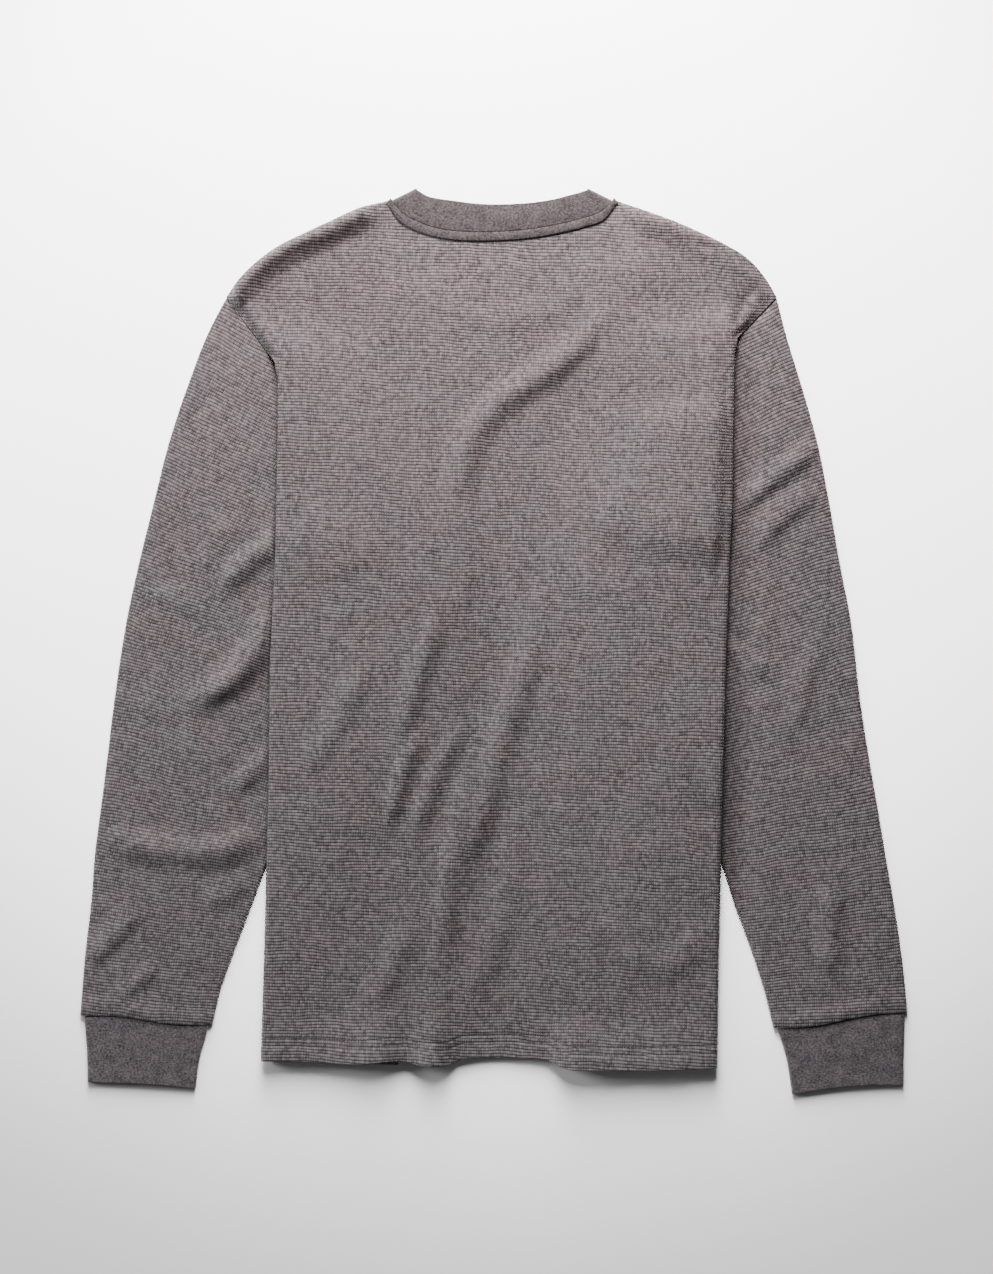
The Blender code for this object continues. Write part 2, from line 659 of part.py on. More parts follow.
def neckband():
    """A flattened ring: back half on top, turned over at both neck points, front half below."""
    low = BAND_WALL / 2.0
    radius = (BACK_BAND_HEIGHT - low) / 2.0
    middle = (BACK_BAND_HEIGHT + low) / 2.0
    back = [back_neck_section(turn) for turn in neck_turns()]
    sections = [(section, BACK_BAND_HEIGHT) for section in back]

    def corner(section, side):
        run = section[1] - section[0]
        away = np.array((abs(run[1]) * side, abs(run[0]))) / np.hypot(*run)
        for turn in np.radians(CORNER_TURNS):
            yield section + away * radius * math.sin(turn), middle + radius * math.cos(turn)

    sections += list(corner(back[-1], RIGHT))
    sections += [(front_neck_section(turn), low) for turn in neck_turns()[::-1]]
    sections += [(s, 2.0 * middle - z) for s, z in corner(back[0], LEFT)]
    rows = []
    for part in BAND_STEPS:
        rows.append([(*(s[0] + part * (s[1] - s[0])), z) for s, z in sections])
    return np.array(rows)


def tape_line():
    """The back panel's neck edge from one neck point to the other, and the tape's width along it."""
    ends = [(side * neck_point_out(side), SHOULDER_ROWS[0].y) for side in (LEFT, RIGHT)]
    line = np.array([ends[0], *back_neck_line(), ends[1]])
    steps = np.hypot(*np.diff(line, axis=0).T)
    travelled = np.concatenate(((0.0,), np.cumsum(steps)))
    from_end = np.minimum(travelled, travelled[-1] - travelled)
    return line, TAPE_WIDTH * (TAPE_END + (1.0 - TAPE_END) * smooth_step(from_end / TAPE_TAPER))


def neck_binding():
    """Tape over the back neck seam: the panel's own points, moved out."""
    line, width = tape_line()
    seam_x, seam_y = line.T
    run_x = np.gradient(seam_x)
    run_y = np.gradient(seam_y)
    length = np.hypot(run_x, run_y)
    rows = []
    for part in BAND_STEPS:
        x = seam_x + run_y / length * width * part
        y = seam_y - run_x / length * width * part
        side = np.where(x < 0.0, LEFT, RIGHT)
        z = np.array([float(back_height(s, abs(a), b)) for s, a, b in zip(side, x, y)])
        rows.append(np.stack((x, y, z + WALL / 2.0 + TOUCH_GAP + TAPE_WALL / 2.0), axis=-1))
    return np.array(rows)


# ---------------------------------------------------------------- Blender objects

def cloth_material(name, colour, roughness):
    material = bpy.data.materials.new(name)
    material.use_nodes = True
    shader = material.node_tree.nodes["Principled BSDF"]
    shader.inputs["Base Color"].default_value = (*colour, 1.0)
    shader.inputs["Roughness"].default_value = roughness
    shader.inputs["Metallic"].default_value = 0.0
    return material


def make_wall(name, grid, wall, material, collection, closed):
    """A sheet through a grid of points, given its thickness to both sides."""
    row_count, column_count = grid.shape[:2]
    points = [tuple(point) for point in (grid.reshape(-1, 3) * MM)]
    faces = []
    last = column_count if closed else column_count - 1
    for row in range(row_count - 1):
        for place in range(last):
            right = (place + 1) % column_count
            low = row * column_count
            high = low + column_count
            faces.append((low + place, low + right, high + right))
            faces.append((low + place, high + right, high + place))
    mesh = bpy.data.meshes.new(name)
    mesh.from_pydata(points, [], faces)
    mesh.materials.append(material)
    mesh.validate()
    mesh.shade_smooth()
    piece = bpy.data.objects.new(name, mesh)
    collection.objects.link(piece)
    solid = piece.modifiers.new("Wall", "SOLIDIFY")
    solid.thickness = wall * MM
    solid.offset = 0.0
    return piece


def stand_at_origin(pieces):
    """Move the whole top so that the middle of its box is at X 0, Y 0 and its underside at Z 0."""
    depsgraph = bpy.context.evaluated_depsgraph_get()
    corners = []
    for piece in pieces:
        shown = piece.evaluated_get(depsgraph)
        mesh = shown.to_mesh()
        coordinates = np.empty(len(mesh.vertices) * 3)
        mesh.vertices.foreach_get("co", coordinates)
        coordinates = coordinates.reshape(-1, 3)
        corners.append(coordinates.min(axis=0))
        corners.append(coordinates.max(axis=0))
        shown.to_mesh_clear()
    low = np.min(corners, axis=0)
    high = np.max(corners, axis=0)
    for piece in pieces:
        piece.location = (-(low[0] + high[0]) / 2.0, -(low[1] + high[1]) / 2.0, -low[2])


def main():
    for old in list(bpy.data.objects):
        bpy.data.objects.remove(old, do_unlink=True)
    collection = bpy.data.collections.new("thermal_top")
    bpy.context.scene.collection.children.link(collection)
    knit = cloth_material("waffle_knit", (0.185, 0.163, 0.170), 0.95)
    jersey = cloth_material("jersey_trim", (0.165, 0.150, 0.158), 0.95)
    pieces = [
        make_wall("back_panel", body_panel(back_cloth()), WALL, knit, collection, False),
        make_wall("front_panel", body_panel(front_cloth()), WALL, knit, collection, False),
        make_wall("sleeve_left", sleeve(LEFT), WALL, knit, collection, True),
        make_wall("sleeve_right", sleeve(RIGHT)[:, ::-1], WALL, knit, collection, True),
        make_wall("cuff_left", cuff(LEFT), BAND_WALL, jersey, collection, True),
        make_wall("cuff_right", cuff(RIGHT)[:, ::-1], BAND_WALL, jersey, collection, True),
        make_wall("neckband", neckband(), BAND_WALL, jersey, collection, True),
        make_wall("neck_binding", neck_binding(), TAPE_WALL, jersey, collection, False),
    ]
    bpy.context.view_layer.update()
    stand_at_origin(pieces)


main()
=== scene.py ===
import math
from collections import namedtuple

import bpy
import numpy as np
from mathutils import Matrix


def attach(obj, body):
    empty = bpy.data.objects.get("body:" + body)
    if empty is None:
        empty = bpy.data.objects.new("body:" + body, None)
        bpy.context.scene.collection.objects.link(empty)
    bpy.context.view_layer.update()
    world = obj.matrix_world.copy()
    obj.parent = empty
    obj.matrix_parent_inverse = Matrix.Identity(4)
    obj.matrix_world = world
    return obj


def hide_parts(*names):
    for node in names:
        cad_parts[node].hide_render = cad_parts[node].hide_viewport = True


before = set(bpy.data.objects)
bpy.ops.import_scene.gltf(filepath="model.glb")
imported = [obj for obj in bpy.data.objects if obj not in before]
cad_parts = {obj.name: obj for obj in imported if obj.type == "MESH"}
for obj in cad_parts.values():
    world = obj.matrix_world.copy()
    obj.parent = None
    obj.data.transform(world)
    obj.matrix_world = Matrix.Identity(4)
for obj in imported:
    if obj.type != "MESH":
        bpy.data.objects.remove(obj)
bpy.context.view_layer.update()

MM = 0.001
LEFT = -1
RIGHT = 1
ORIGIN = (-0.498, -0.704, 0.0)  # moves the sizes below to the CAD's own origin

# Cloth and how it lies
WALL = 1.3  # waffle knit
BAND_WALL = 1.9  # jersey, doubled into a cuff or neckband
TAPE_WALL = 1.0  # binding tape
SEAM_GAP = 0.4  # between the edges of two pieces that are sewn together
TOUCH_GAP = 0.3  # between a tape and the panel that it lies on
LAYER = 2.2  # from the middle of one laid layer to the middle of the next
FRONT_FOLD = 2.6  # the same inside the front panel's own side fold
SLEEVE_STACK = 4.2  # how far a flattened sleeve lifts what lies on it
FLAP_MARGIN = 5.0  # cloth stays lifted this far past a flap's end
SLEEVE_MARGIN = 14.0  # and this far past the edge of a sleeve under it
FLAP_RAMP = 95.0  # then comes down over this width beside a turned-under flap
SLEEVE_RAMP = 105.0  # and over this width beside a sleeve
FLAT = WALL / 2.0  # height of the middle of a wall that lies on the surface
FOLD_RADIUS = LAYER + FRONT_FOLD / 2.0
HIDDEN_INSET = 4.0  # the front's hem stays this far behind the back's
SIDE_NAME = {LEFT: "left", RIGHT: "right"}


def table(kind, *rows):
    """Rows of one kind, whose columns are named."""
    return tuple(kind(*row) for row in rows)


# Side folds: how far out the folded edge is at each height. In the last two rows its line is
# outside the cloth, because there the armhole seam has come out from under the body.
FoldRow = namedtuple("FoldRow", "y out")
FOLD_ROWS = {
    LEFT: table(
        FoldRow, (-352.0, 195.1), (-246.0, 191.8), (-133.0, 188.9), (-19.0, 187.6), (70.0, 183.2),
        (175.0, 181.0), (220.0, 181.0), (236.0, 184.5), (250.0, 202.0), (290.0, 250.0)),
    RIGHT: table(
        FoldRow, (-357.0, 187.9), (-246.0, 189.6), (-133.0, 192.1), (-19.0, 195.3), (70.0, 198.4),
        (117.0, 200.9), (175.0, 201.4), (240.0, 202.8), (254.0, 205.5), (265.0, 222.0), (290.0, 265.0)),
}

# Cut of the body: half width of the unfolded cloth, from hem up the side seam and the armhole
CutRow = namedtuple("CutRow", "y half_width")
CUT_ROWS = {
    LEFT: table(
        CutRow, (-352.0, 313.0), (68.8, 287.0), (100.0, 268.0), (150.0, 235.0), (200.0, 202.0),
        (223.0, 187.0), (235.0, 183.4), (289.7, 224.5)),
    RIGHT: table(
        CutRow, (-357.0, 292.5), (68.8, 294.7), (100.0, 282.0), (150.0, 257.0), (200.0, 231.0),
        (240.0, 210.0), (254.4, 203.9), (289.7, 238.3)),
}
# The front's armhole is cut this much deeper than the back's
ScoopRow = namedtuple("ScoopRow", "y left right")
SCOOP_ROWS = table(
    ScoopRow, (120.0, 0.0, 0.0), (172.0, 12.0, 16.0), (200.0, 16.2, 24.2), (238.0, 18.0, 26.0),
    (250.0, 3.0, 26.0), (256.0, 1.0, 26.0), (268.0, 0.0, 3.0), (289.7, 0.0, 0.0))
UNDERARM = {LEFT: (81.7, 68.8), RIGHT: (103.9, 68.8)}  # hidden under the body
FOLD_TOP = {LEFT: (183.4, 235.0), RIGHT: (203.9, 254.4)}  # where the armhole comes out
SHOULDER_TIP = {LEFT: (224.5, 289.7), RIGHT: (238.3, 289.7)}

# Shoulder line from the neck to the tip: its distance out at each height
ShoulderRow = namedtuple("ShoulderRow", "y left right")
SHOULDER_ROWS = table(
    ShoulderRow, (371.5, 87.6, 102.8), (362.8, 114.8, 124.8), (352.7, 136.5, 152.3),
    (342.6, 158.3, 175.6), (332.6, 178.6, 196.3), (322.5, 193.6, 212.6), (312.4, 205.2, 223.4),
    (302.3, 214.6, 230.9), (289.7, 224.5, 238.3))

# Hem edge of the back panel across the top layer, and of its turned-under flap
HemRow = namedtuple("HemRow", "x y")
HEM_ROWS = table(
    HemRow, (-195.1, -351.2), (-155.7, -352.0), (-113.7, -353.7), (-76.7, -351.6), (-60.0, -354.9),
    (-48.1, -355.0), (-38.0, -354.8), (-33.0, -352.6), (-28.0, -350.4), (-21.0, -349.7), (0.2, -349.3),
    (40.0, -350.2), (48.0, -351.4), (53.0, -354.2), (58.0, -357.0), (64.0, -358.0), (87.9, -358.7),
    (128.3, -358.9), (187.9, -357.1))
# How high the hem's waves stand off the surface, across the body
LiftRow = namedtuple("LiftRow", "x lift")
LIFT_ROWS = table(
    LiftRow, (-195.0, 1.6), (-150.0, 2.8), (-122.0, 5.4), (-102.0, 8.4), (-89.0, 7.0), (-79.0, 2.9),
    (-71.0, 1.1), (-63.0, 4.6), (-54.0, 8.8), (-45.0, 8.4), (-39.0, 5.2), (-34.0, 1.2), (-29.0, 0.0),
    (44.0, 0.0), (52.0, 2.4), (60.0, 6.8), (80.0, 7.8), (104.0, 8.0), (125.0, 6.8), (145.0, 7.2),
    (168.0, 4.4), (188.0, 1.8))
LIFT_REACH = 54.0  # the waves die out this far above the hem
FRONT_LIFT = 0.8  # the front follows this part of them
BACK_LIFT = 0.2  # the back this much more
FLAP_LIFT = 0.35  # and the turned-under flaps only this part
HEM_GROOVES = (12.7, 19.2)  # rows of stitches that pull the hem in
HEM_GROOVE_DEPTH = 0.55
HEM_GROOVE_REACH = 1.6  # to each side
HEM_TIP = 0.9  # the doubled hem turns up this much to its edge
SEAM_FLANK_LOW = 8.0  # the body slopes down to the armhole seam over this width low down
SEAM_FLANK_HIGH = 17.0  # and over this width at the shoulder tip
SEAM_SLOPE_BELOW = 5.0  # that slope begins this far below the top of the fold
SEAM_SLOPE_RISE = 14.0  # and is there in full this much further up
FLAP_HEM = {LEFT: -355.3, RIGHT: -353.0}  # at the side seam, under the body

# The shoulder edge stands up in a soft roll, and the yoke slopes down from it
SHOULDER_ROLL = {LEFT: 9.8, RIGHT: 4.6}
ROLL_CREST = 4.0  # its crest is this far inside the edge
ROLL_FLANK = {LEFT: 17.5, RIGHT: 20.0}
ROLL_EDGE = 0.78  # part of its height that it has at the very edge
ROLL_START = 25.0  # it grows over this width beside the neck point
SHOULDER_SLOPE = {LEFT: 3.2, RIGHT: 4.5}
SLOPE_WIDTH = 90.0
EDGE_DROP = 0.6  # the back comes down to the front at the shoulder edge
EDGE_DROP_WIDTH = 4.0

# Back neck, section by section: the band's seam edge and its free top edge
NeckRow = namedtuple("NeckRow", "seam_x seam_y top_x top_y")
NECK_ROWS = table(
    NeckRow, (-84.2, 369.2, -63.7, 379.5), (-75.9, 360.8, -55.8, 374.9), (-62.4, 353.0, -45.0, 372.4),
    (-47.3, 348.0, -32.0, 370.6), (-22.1, 345.0, -14.5, 368.4), (3.0, 345.1, 4.0, 367.7),
    (28.0, 346.9, 26.0, 368.6), (52.0, 350.8, 46.0, 371.0), (75.3, 356.4, 62.0, 374.9),
    (90.5, 361.8, 71.5, 377.4), (98.8, 369.2, 78.3, 379.4))
NECK_MIDDLE = 7.3  # the neck isn't quite in the middle of the body
FRONT_NECK_SEAM = (91.5, 369.2, 98.3)  # half width, height of its ends, depth
FRONT_NECK_EDGE = (71.0, 379.5, 84.5)
BACK_BAND_HEIGHT = 4.0  # middle of the band's back half above the surface
TAPE_WIDTH = 7.2
TAPE_END = 0.5  # its ends taper to this part of its width
TAPE_TAPER = 22.0  # over this length
TAPE_OVERLAP = 1.8  # at a neck point it laps over the neckband's turn
TAPE_END_RISE = 1.3  # and stands up over it
TAPE_END_SHARE = 6.0  # both happen in the last sixth of the taper

# Sleeves: outer folded edge and inner (underarm seam) edge, from armhole to cuff
SleeveRow = namedtuple("SleeveRow", "along outer_x outer_y inner_x inner_y")
SLEEVE_ROWS = {
    LEFT: table(
        SleeveRow, (0.000, 224.5, 289.7, 81.7, 68.8), (0.050, 238.9, 262.0, 89.9, 49.5),
        (0.125, 255.7, 219.2, 102.3, 20.5), (0.210, 272.2, 169.6, 116.2, -12.2),
        (0.295, 285.0, 119.2, 130.3, -45.3), (0.380, 297.4, 68.8, 144.4, -78.4),
        (0.465, 308.3, 18.4, 158.1, -110.6), (0.570, 318.6, -48.8, 175.4, -151.1),
        (0.655, 324.8, -99.2, 189.4, -184.0), (0.740, 331.6, -151.3, 201.0, -215.0),
        (0.780, 334.6, -174.8, 207.0, -231.0), (0.850, 337.9, -216.8, 217.4, -258.0),
        (0.930, 343.6, -267.2, 229.0, -291.0), (1.000, 347.2, -314.2, 236.0, -321.0)),
    RIGHT: table(
        SleeveRow, (0.000, 238.3, 289.7, 103.9, 68.8), (0.050, 245.2, 262.0, 110.7, 49.2),
        (0.125, 258.9, 216.6, 120.8, 19.8), (0.210, 271.9, 169.6, 132.3, -13.4),
        (0.295, 282.0, 119.2, 143.8, -46.5), (0.380, 290.8, 68.8, 155.4, -80.0),
        (0.465, 300.4, 18.4, 167.0, -113.6), (0.570, 308.4, -48.8, 181.0, -154.2),
        (0.655, 316.2, -99.2, 192.6, -187.6), (0.740, 325.0, -149.6, 203.0, -221.0),
        (0.780, 328.8, -173.0, 208.6, -236.0), (0.850, 336.0, -215.0, 219.0, -265.0),
        (0.930, 343.4, -264.0, 228.9, -297.0), (1.000, 348.2, -311.7, 235.4, -324.3)),
}
SLEEVE_LOFT = 2.6  # how much a sleeve stands up in its middle, clear of the body
LOFT_START = 6.0  # from this far out of the body's edge
LOFT_REACH = 30.0  # and in full this much further
CREASE_CLEAR = 0.5  # its creases begin this far out of the body's edge
CREASE_RISE = 6.0  # and have their full height this much further out
ARMHOLE_CLEAR = {LEFT: 14.0, RIGHT: 34.0}  # beside its seam the shoulder's roll dies out over this
ARMHOLE_GAP = 0.55  # between the sleeve's edge and the body's
ARMHOLE_DIP = 0.7  # the sleeve dips this much to that seam
ARMHOLE_DIP_REACH = 0.014  # over this part of its length
ARMHOLE_DIP_FROM = 0.5  # from this part of its width
ARMHOLE_DIP_RISE = 0.3  # and in full this much further out
RISE_REACH = 42.0  # length over which a sleeve comes down from the raised body
END_ROLL = 1.3  # the sleeve's end stands up over the cuff seam
RollSpan = namedtuple("RollSpan", "start rise end fall")
END_ROLL_SPAN = RollSpan(0.972, 0.012, 1.002, 0.006)  # where, in parts of the sleeve's length
CUFF_SEAM_WAVE = -2.0  # slow wave of the seam across the sleeve
WAVE_REACH = 0.12  # part of the sleeve's length that follows the wave

# Cuffs, from the seam to the free end. Bow and wave move a section's middle and quarters along.
CuffRow = namedtuple("CuffRow", "outer_x outer_y inner_x inner_y bow wave")
CUFF_ROWS = {
    LEFT: table(
        CuffRow, (344.0, -314.9, 239.4, -321.3, 0.0, -2.0), (342.6, -329.0, 242.6, -334.0, 0.3, -2.1),
        (341.6, -343.0, 246.4, -347.0, 0.7, -1.7), (341.2, -356.5, 248.6, -361.4, 1.0, -0.8),
        (341.0, -369.9, 250.2, -375.0, 1.4, 0.0)),
    RIGHT: table(
        CuffRow, (345.8, -312.5, 238.6, -324.7, 0.0, -2.0), (345.4, -328.0, 243.2, -338.0, 0.6, -1.6),
        (345.0, -343.0, 246.8, -351.5, 1.2, -1.0), (344.8, -358.0, 249.2, -366.0, 2.0, -0.5),
        (344.7, -372.2, 251.2, -380.4, 3.0, 0.0)),
}
CUFF_LAYER = 2.6  # from the middle of its lower layer to the middle of its upper one
CUFF_LOFT = 1.0  # how much it stands up in its middle
CUFF_LOFT_ENDS = 0.6  # part of that which it has at its seam and free end
CUFF_LOFT_SWELL = 0.4  # and the part that swells between them
CUFF_END_ROLL = 0.5  # soft roll at the free end
CUFF_END_FROM = 0.8  # from this part of its length
CUFF_END_RISE = 0.1  # and in full this much further
CUFF_ROW_COUNT = 24
BAND_ROW_COUNT = 10
BAND_ROLL = 0.8  # how much the neckband swells between its edges
TAPE_ROLL = 0.9  # and the tape below it
BAND_ROUNDNESS = 0.7  # below 1 a swell is fuller than a half wave
TAPE_ROUNDNESS = 0.6
LOFT_ROUNDNESS = 0.5
SLEEVE_LENGTH = 650.0  # about, for the spacing of rows
CUFF_LENGTH = 58.0
BAND_HEIGHT = 21.0
BAND_MAP_HEIGHT = 20.0  # height of the neckband in its cloth map

# Creases: places that the crest passes, its height, and the width of the flank on its left and
# on its right, seen from its start to its end
Crease = namedtuple("Crease", "places height left_flank right_flank")
BACK_CREASES = table(
    Crease,
    # the long bow across the upper back, and its tail
    (((104, 280), (90, 270), (75, 251), (56, 235), (38, 222), (18, 210), (2, 197), (-11, 183), (-20, 165),
      (-25, 147), (-28, 126), (-29, 103)), 6.4, 16.0, 20.0),
    (((-22, 170), (-25, 140), (-26, 102), (-26, 69), (-27, 35), (-29, -7), (-31, -49), (-36, -78)),
     1.7, 11.0, 15.0),
    # a low wave under the neck
    (((-66, 291), (-32, 275), (1, 267), (35, 272), (64, 284), (90, 299)), 1.5, 26.0, 13.0),
    # the fan of shallow creases over the lower back
    (((-40, 37), (-50, 7), (-59, -19), (-67, -45), (-73, -67), (-79, -92)), 4.4, 11.0, 16.0),
    (((-62, -74), (-71, -95), (-77, -114), (-83, -134), (-89, -158)), 4.4, 11.0, 15.0),
    (((-25, -64), (-37, -87), (-46, -106), (-53, -124), (-61, -145), (-67, -168)), 4.2, 11.0, 12.0),
    (((-16, -103), (-26, -133), (-32, -158), (-36, -183), (-39, -208), (-42, -242), (-46, -276)),
     4.3, 14.0, 13.0),
    (((42, 37), (33, -3), (24, -39), (14, -67), (6, -92), (0, -116), (-8, -140), (-16, -162), (-24, -182),
      (-31, -207)), 5.4, 12.0, 22.0),
    (((19, -171), (12, -200), (8, -221), (5, -242), (-2, -263), (-10, -284), (-20, -304)), 3.0, 15.0, 18.0),
    (((-107, -17), (-118, -40), (-126, -57), (-135, -76), (-146, -94), (-157, -114)), 3.4, 18.0, 22.0),
    (((-72, -234), (-79, -260), (-91, -286), (-105, -311)), 2.8, 16.0, 22.0),
    (((-43, -288), (-48, -313), (-50, -339)), 1.8, 12.0, 16.0),
    (((59, -87), (64, -120), (69, -150), (67, -175)), 1.6, 12.0, 16.0),
    # waves over what lies underneath: low on the right, and over the two underarms
    (((112, 338), (112, 290), (110, 240), (106, 205)), 3.2, 78.0, 60.0),
    (((184, 215), (186, 178), (186, 136), (184, 94), (180, 56)), 7.6, 12.0, 92.0),
    (((186, -30), (187, -70), (187, -110), (186, -150)), 2.6, 12.0, 80.0),
    (((-118, -70), (-120, -100), (-122, -140), (-124, -165)), 1.8, 60.0, 62.0),
    (((118, -150), (118, -190), (116, -230), (112, -262)), 2.4, 72.0, 50.0),
    (((102, -250), (123, -263), (142, -270), (159, -261), (174, -242)), 3.0, 22.0, 24.0),
    (((77, 122), (106, 103), (133, 91), (160, 91), (192, 101)), 4.6, 74.0, 38.0),
    (((-175, 96), (-150, 86), (-125, 76), (-104, 56)), 3.2, 45.0, 45.0),
)
# A wide shallow dip right of the long bow, and narrow ones beside the armholes and along the shoulders
BACK_DIPS = table(
    Crease,
    (((100, 262), (101, 210), (101, 150), (100, 95), (98, 40)), 3.0, 86.0, 92.0),
    (((-194, 297), (-191, 282), (-186, 265), (-181, 249), (-177, 232), (-177, 210)), 2.4, 8.0, 7.0),
    (((222, 299), (212, 288), (207, 277), (204, 264), (201, 244)), 2.4, 7.0, 8.0),
    (((231, 301), (217, 314), (202, 323), (184, 331), (165, 336)), 2.0, 7.0, 8.0),
    (((-204, 294), (-194, 307), (-179, 319), (-162, 329), (-141, 338)), 1.0, 7.0, 7.0),
)
SLEEVE_CREASES = {
    LEFT: table(
        Crease,
        (((-169, 96), (-183, 85), (-196, 75), (-208, 65), (-219, 56), (-228, 44)), 6.0, 13.0, 14.0),
        (((-213, 107), (-223, 94), (-230, 77), (-234, 59)), 1.6, 9.0, 12.0),
        (((-174, 42), (-184, 22), (-193, 2), (-203, -14), (-213, -26), (-225, -36), (-238, -44),
          (-250, -49)), 8.0, 14.0, 20.0),
        (((-337, -165), (-305, -169), (-280, -173), (-255, -176), (-234, -175), (-213, -168), (-191, -155)),
         4.8, 17.0, 22.0),
        (((-288, -175), (-272, -185), (-258, -198), (-250, -217)), 1.6, 12.0, 16.0),
        (((-242, -217), (-223, -211), (-204, -197)), 2.0, 16.0, 14.0),
        (((-175, -89), (-191, -101), (-204, -112), (-218, -126)), 3.6, 10.0, 15.0),
        (((-260, -40), (-256, -66), (-250, -91), (-240, -113)), 1.7, 9.0, 12.0),
        (((-276, -49), (-255, -56), (-240, -49)), 2.0, 22.0, 14.0),
        (((-288, 35), (-263, 35), (-242, 23)), 1.6, 16.0, 14.0),
        (((-297, -224), (-320, -250), (-340, -271)), 3.0, 10.0, 20.0),
        (((-282, -274), (-300, -288), (-314, -299)), 2.2, 8.0, 14.0),
        (((-314, -49), (-293, -54), (-275, -61)), 1.6, 10.0, 14.0),
        (((-223, 107), (-234, 81), (-240, 56)), 2.1, 8.0, 18.0),
    ),
    RIGHT: table(
        Crease,
        (((276, 165), (260, 155), (246, 144), (231, 133), (216, 120), (206, 109)), 4.6, 11.0, 17.0),
        (((273, 124), (256, 115), (242, 104), (230, 92), (218, 78)), 3.6, 12.0, 26.0),
        (((195, 1), (207, -9), (219, -19), (232, -25)), 3.2, 10.0, 14.0),
        (((285, -200), (282, -229), (281, -255), (283, -284)), 3.2, 17.0, 16.0),
        (((274, 2), (260, -40), (256, -75)), 2.1, 14.0, 16.0),
        (((301, -277), (316, -291), (335, -301)), 1.6, 12.0, 10.0),
    ),
}

# How finely the walls are divided
BODY_ROW_COUNT = 132  # from the hem to the first of the rows where the folds begin
ROLL_ROWS = (*np.linspace(200.0, 262.0, 19), *np.linspace(263.2, 288.9, 24), 289.7)
# The first rows above the hem: a thin rounded edge, and two sewn grooves
HEM_CLOSE_ROWS = (0.0, 0.7, 2.0, 4.0, 6.5, 9.0, 11.0, 11.9, 12.7, 13.5, 14.6, 16.5, 18.4, 19.2, 20.0, 21.0,
                  23.0, 26.0)
EDGE_ROW = 0.7  # a wall's last row before an edge, so that the edge is thin and round
NECK_COLUMNS = 20  # from the middle to the neck point, each side
SHOULDER_COLUMNS = 34  # from there to the side fold
FOLD_COLUMNS = 10  # round a side fold
FLAP_COLUMNS = 14
SLEEVE_ROW_COUNT = 150
SLEEVE_COLUMNS = 44
SLEEVE_FOLD_COLUMNS = 8
LEAST_COLUMN = 0.46  # narrowest column of the back, where its flap ends
LEAST_FRONT_COLUMN = 0.15
NEAR_FOLD = 12.0  # a flap's first column lies this close to its fold
INSET_FADE = 6  # the front's hem inset dies out up the panel
ROW_CURVE = 14  # rows are level low down and follow the shoulders near the top
ELBOW_ROW = 8  # row of a sleeve's table up to which its hidden edge runs straight
SLOPE_STEP = 2.0  # distance over which the shoulder line's slope is taken
NECK_TURN_STEPS = 8  # round the neckband's turn at a neck point
CREASE_STEPS = 8  # steps of a crease's line from one of its places to the next
CREASE_FADE = 0.22  # part of a crease's length over which its end falls
CREASE_END = 0.25  # to this part of its height
CREASE_BLEND = 2.5  # power by which creases that meet are added up


# ---- curves

def smooth_step(value):
    """0 below 0, 1 above 1, and a soft S between."""
    t = np.clip(value, 0.0, 1.0)
    return t * t * (3.0 - 2.0 * t)


def smooth_through(places, values, at):
    """A soft curve through the rows of a table, read at one or more places."""
    places = np.asarray(places, float)
    values = np.asarray(values, float)
    at = np.asarray(at, float)
    slopes = np.gradient(values, places)
    cell = np.clip(np.searchsorted(places, at) - 1, 0, len(places) - 2)
    width = places[cell + 1] - places[cell]
    t = np.clip((at - places[cell]) / width, 0.0, 1.0)
    rest = 1.0 - t
    start = (1.0 + 2.0 * t) * rest * rest * values[cell] + t * rest * rest * width * slopes[cell]
    end = t * t * (3.0 - 2.0 * t) * values[cell + 1] - t * t * rest * width * slopes[cell + 1]
    return start + end


def column(rows, name):
    return [getattr(row, name) for row in rows]


def read(rows, place, value, at):
    """A soft curve through two columns of a table."""
    return smooth_through(column(rows, place), column(rows, value), at)


def interpolate(rows, value, y):
    """Straight lines between the rows of a table by height."""
    return np.interp(y, column(rows, "y"), column(rows, value))


def distance_along(points):
    """Distance travelled across the surface to each point of a line."""
    steps = np.hypot(*np.diff(points[:, :2], axis=0).T)
    return np.concatenate(((0.0,), np.cumsum(steps)))


def section_width(outer, inner):
    """Width of a section between two edge points, and the way down the sleeve from it."""
    width = float(np.hypot(*(outer - inner)))
    across_way = (outer - inner) / width
    return width, np.array((across_way[1], -across_way[0]))


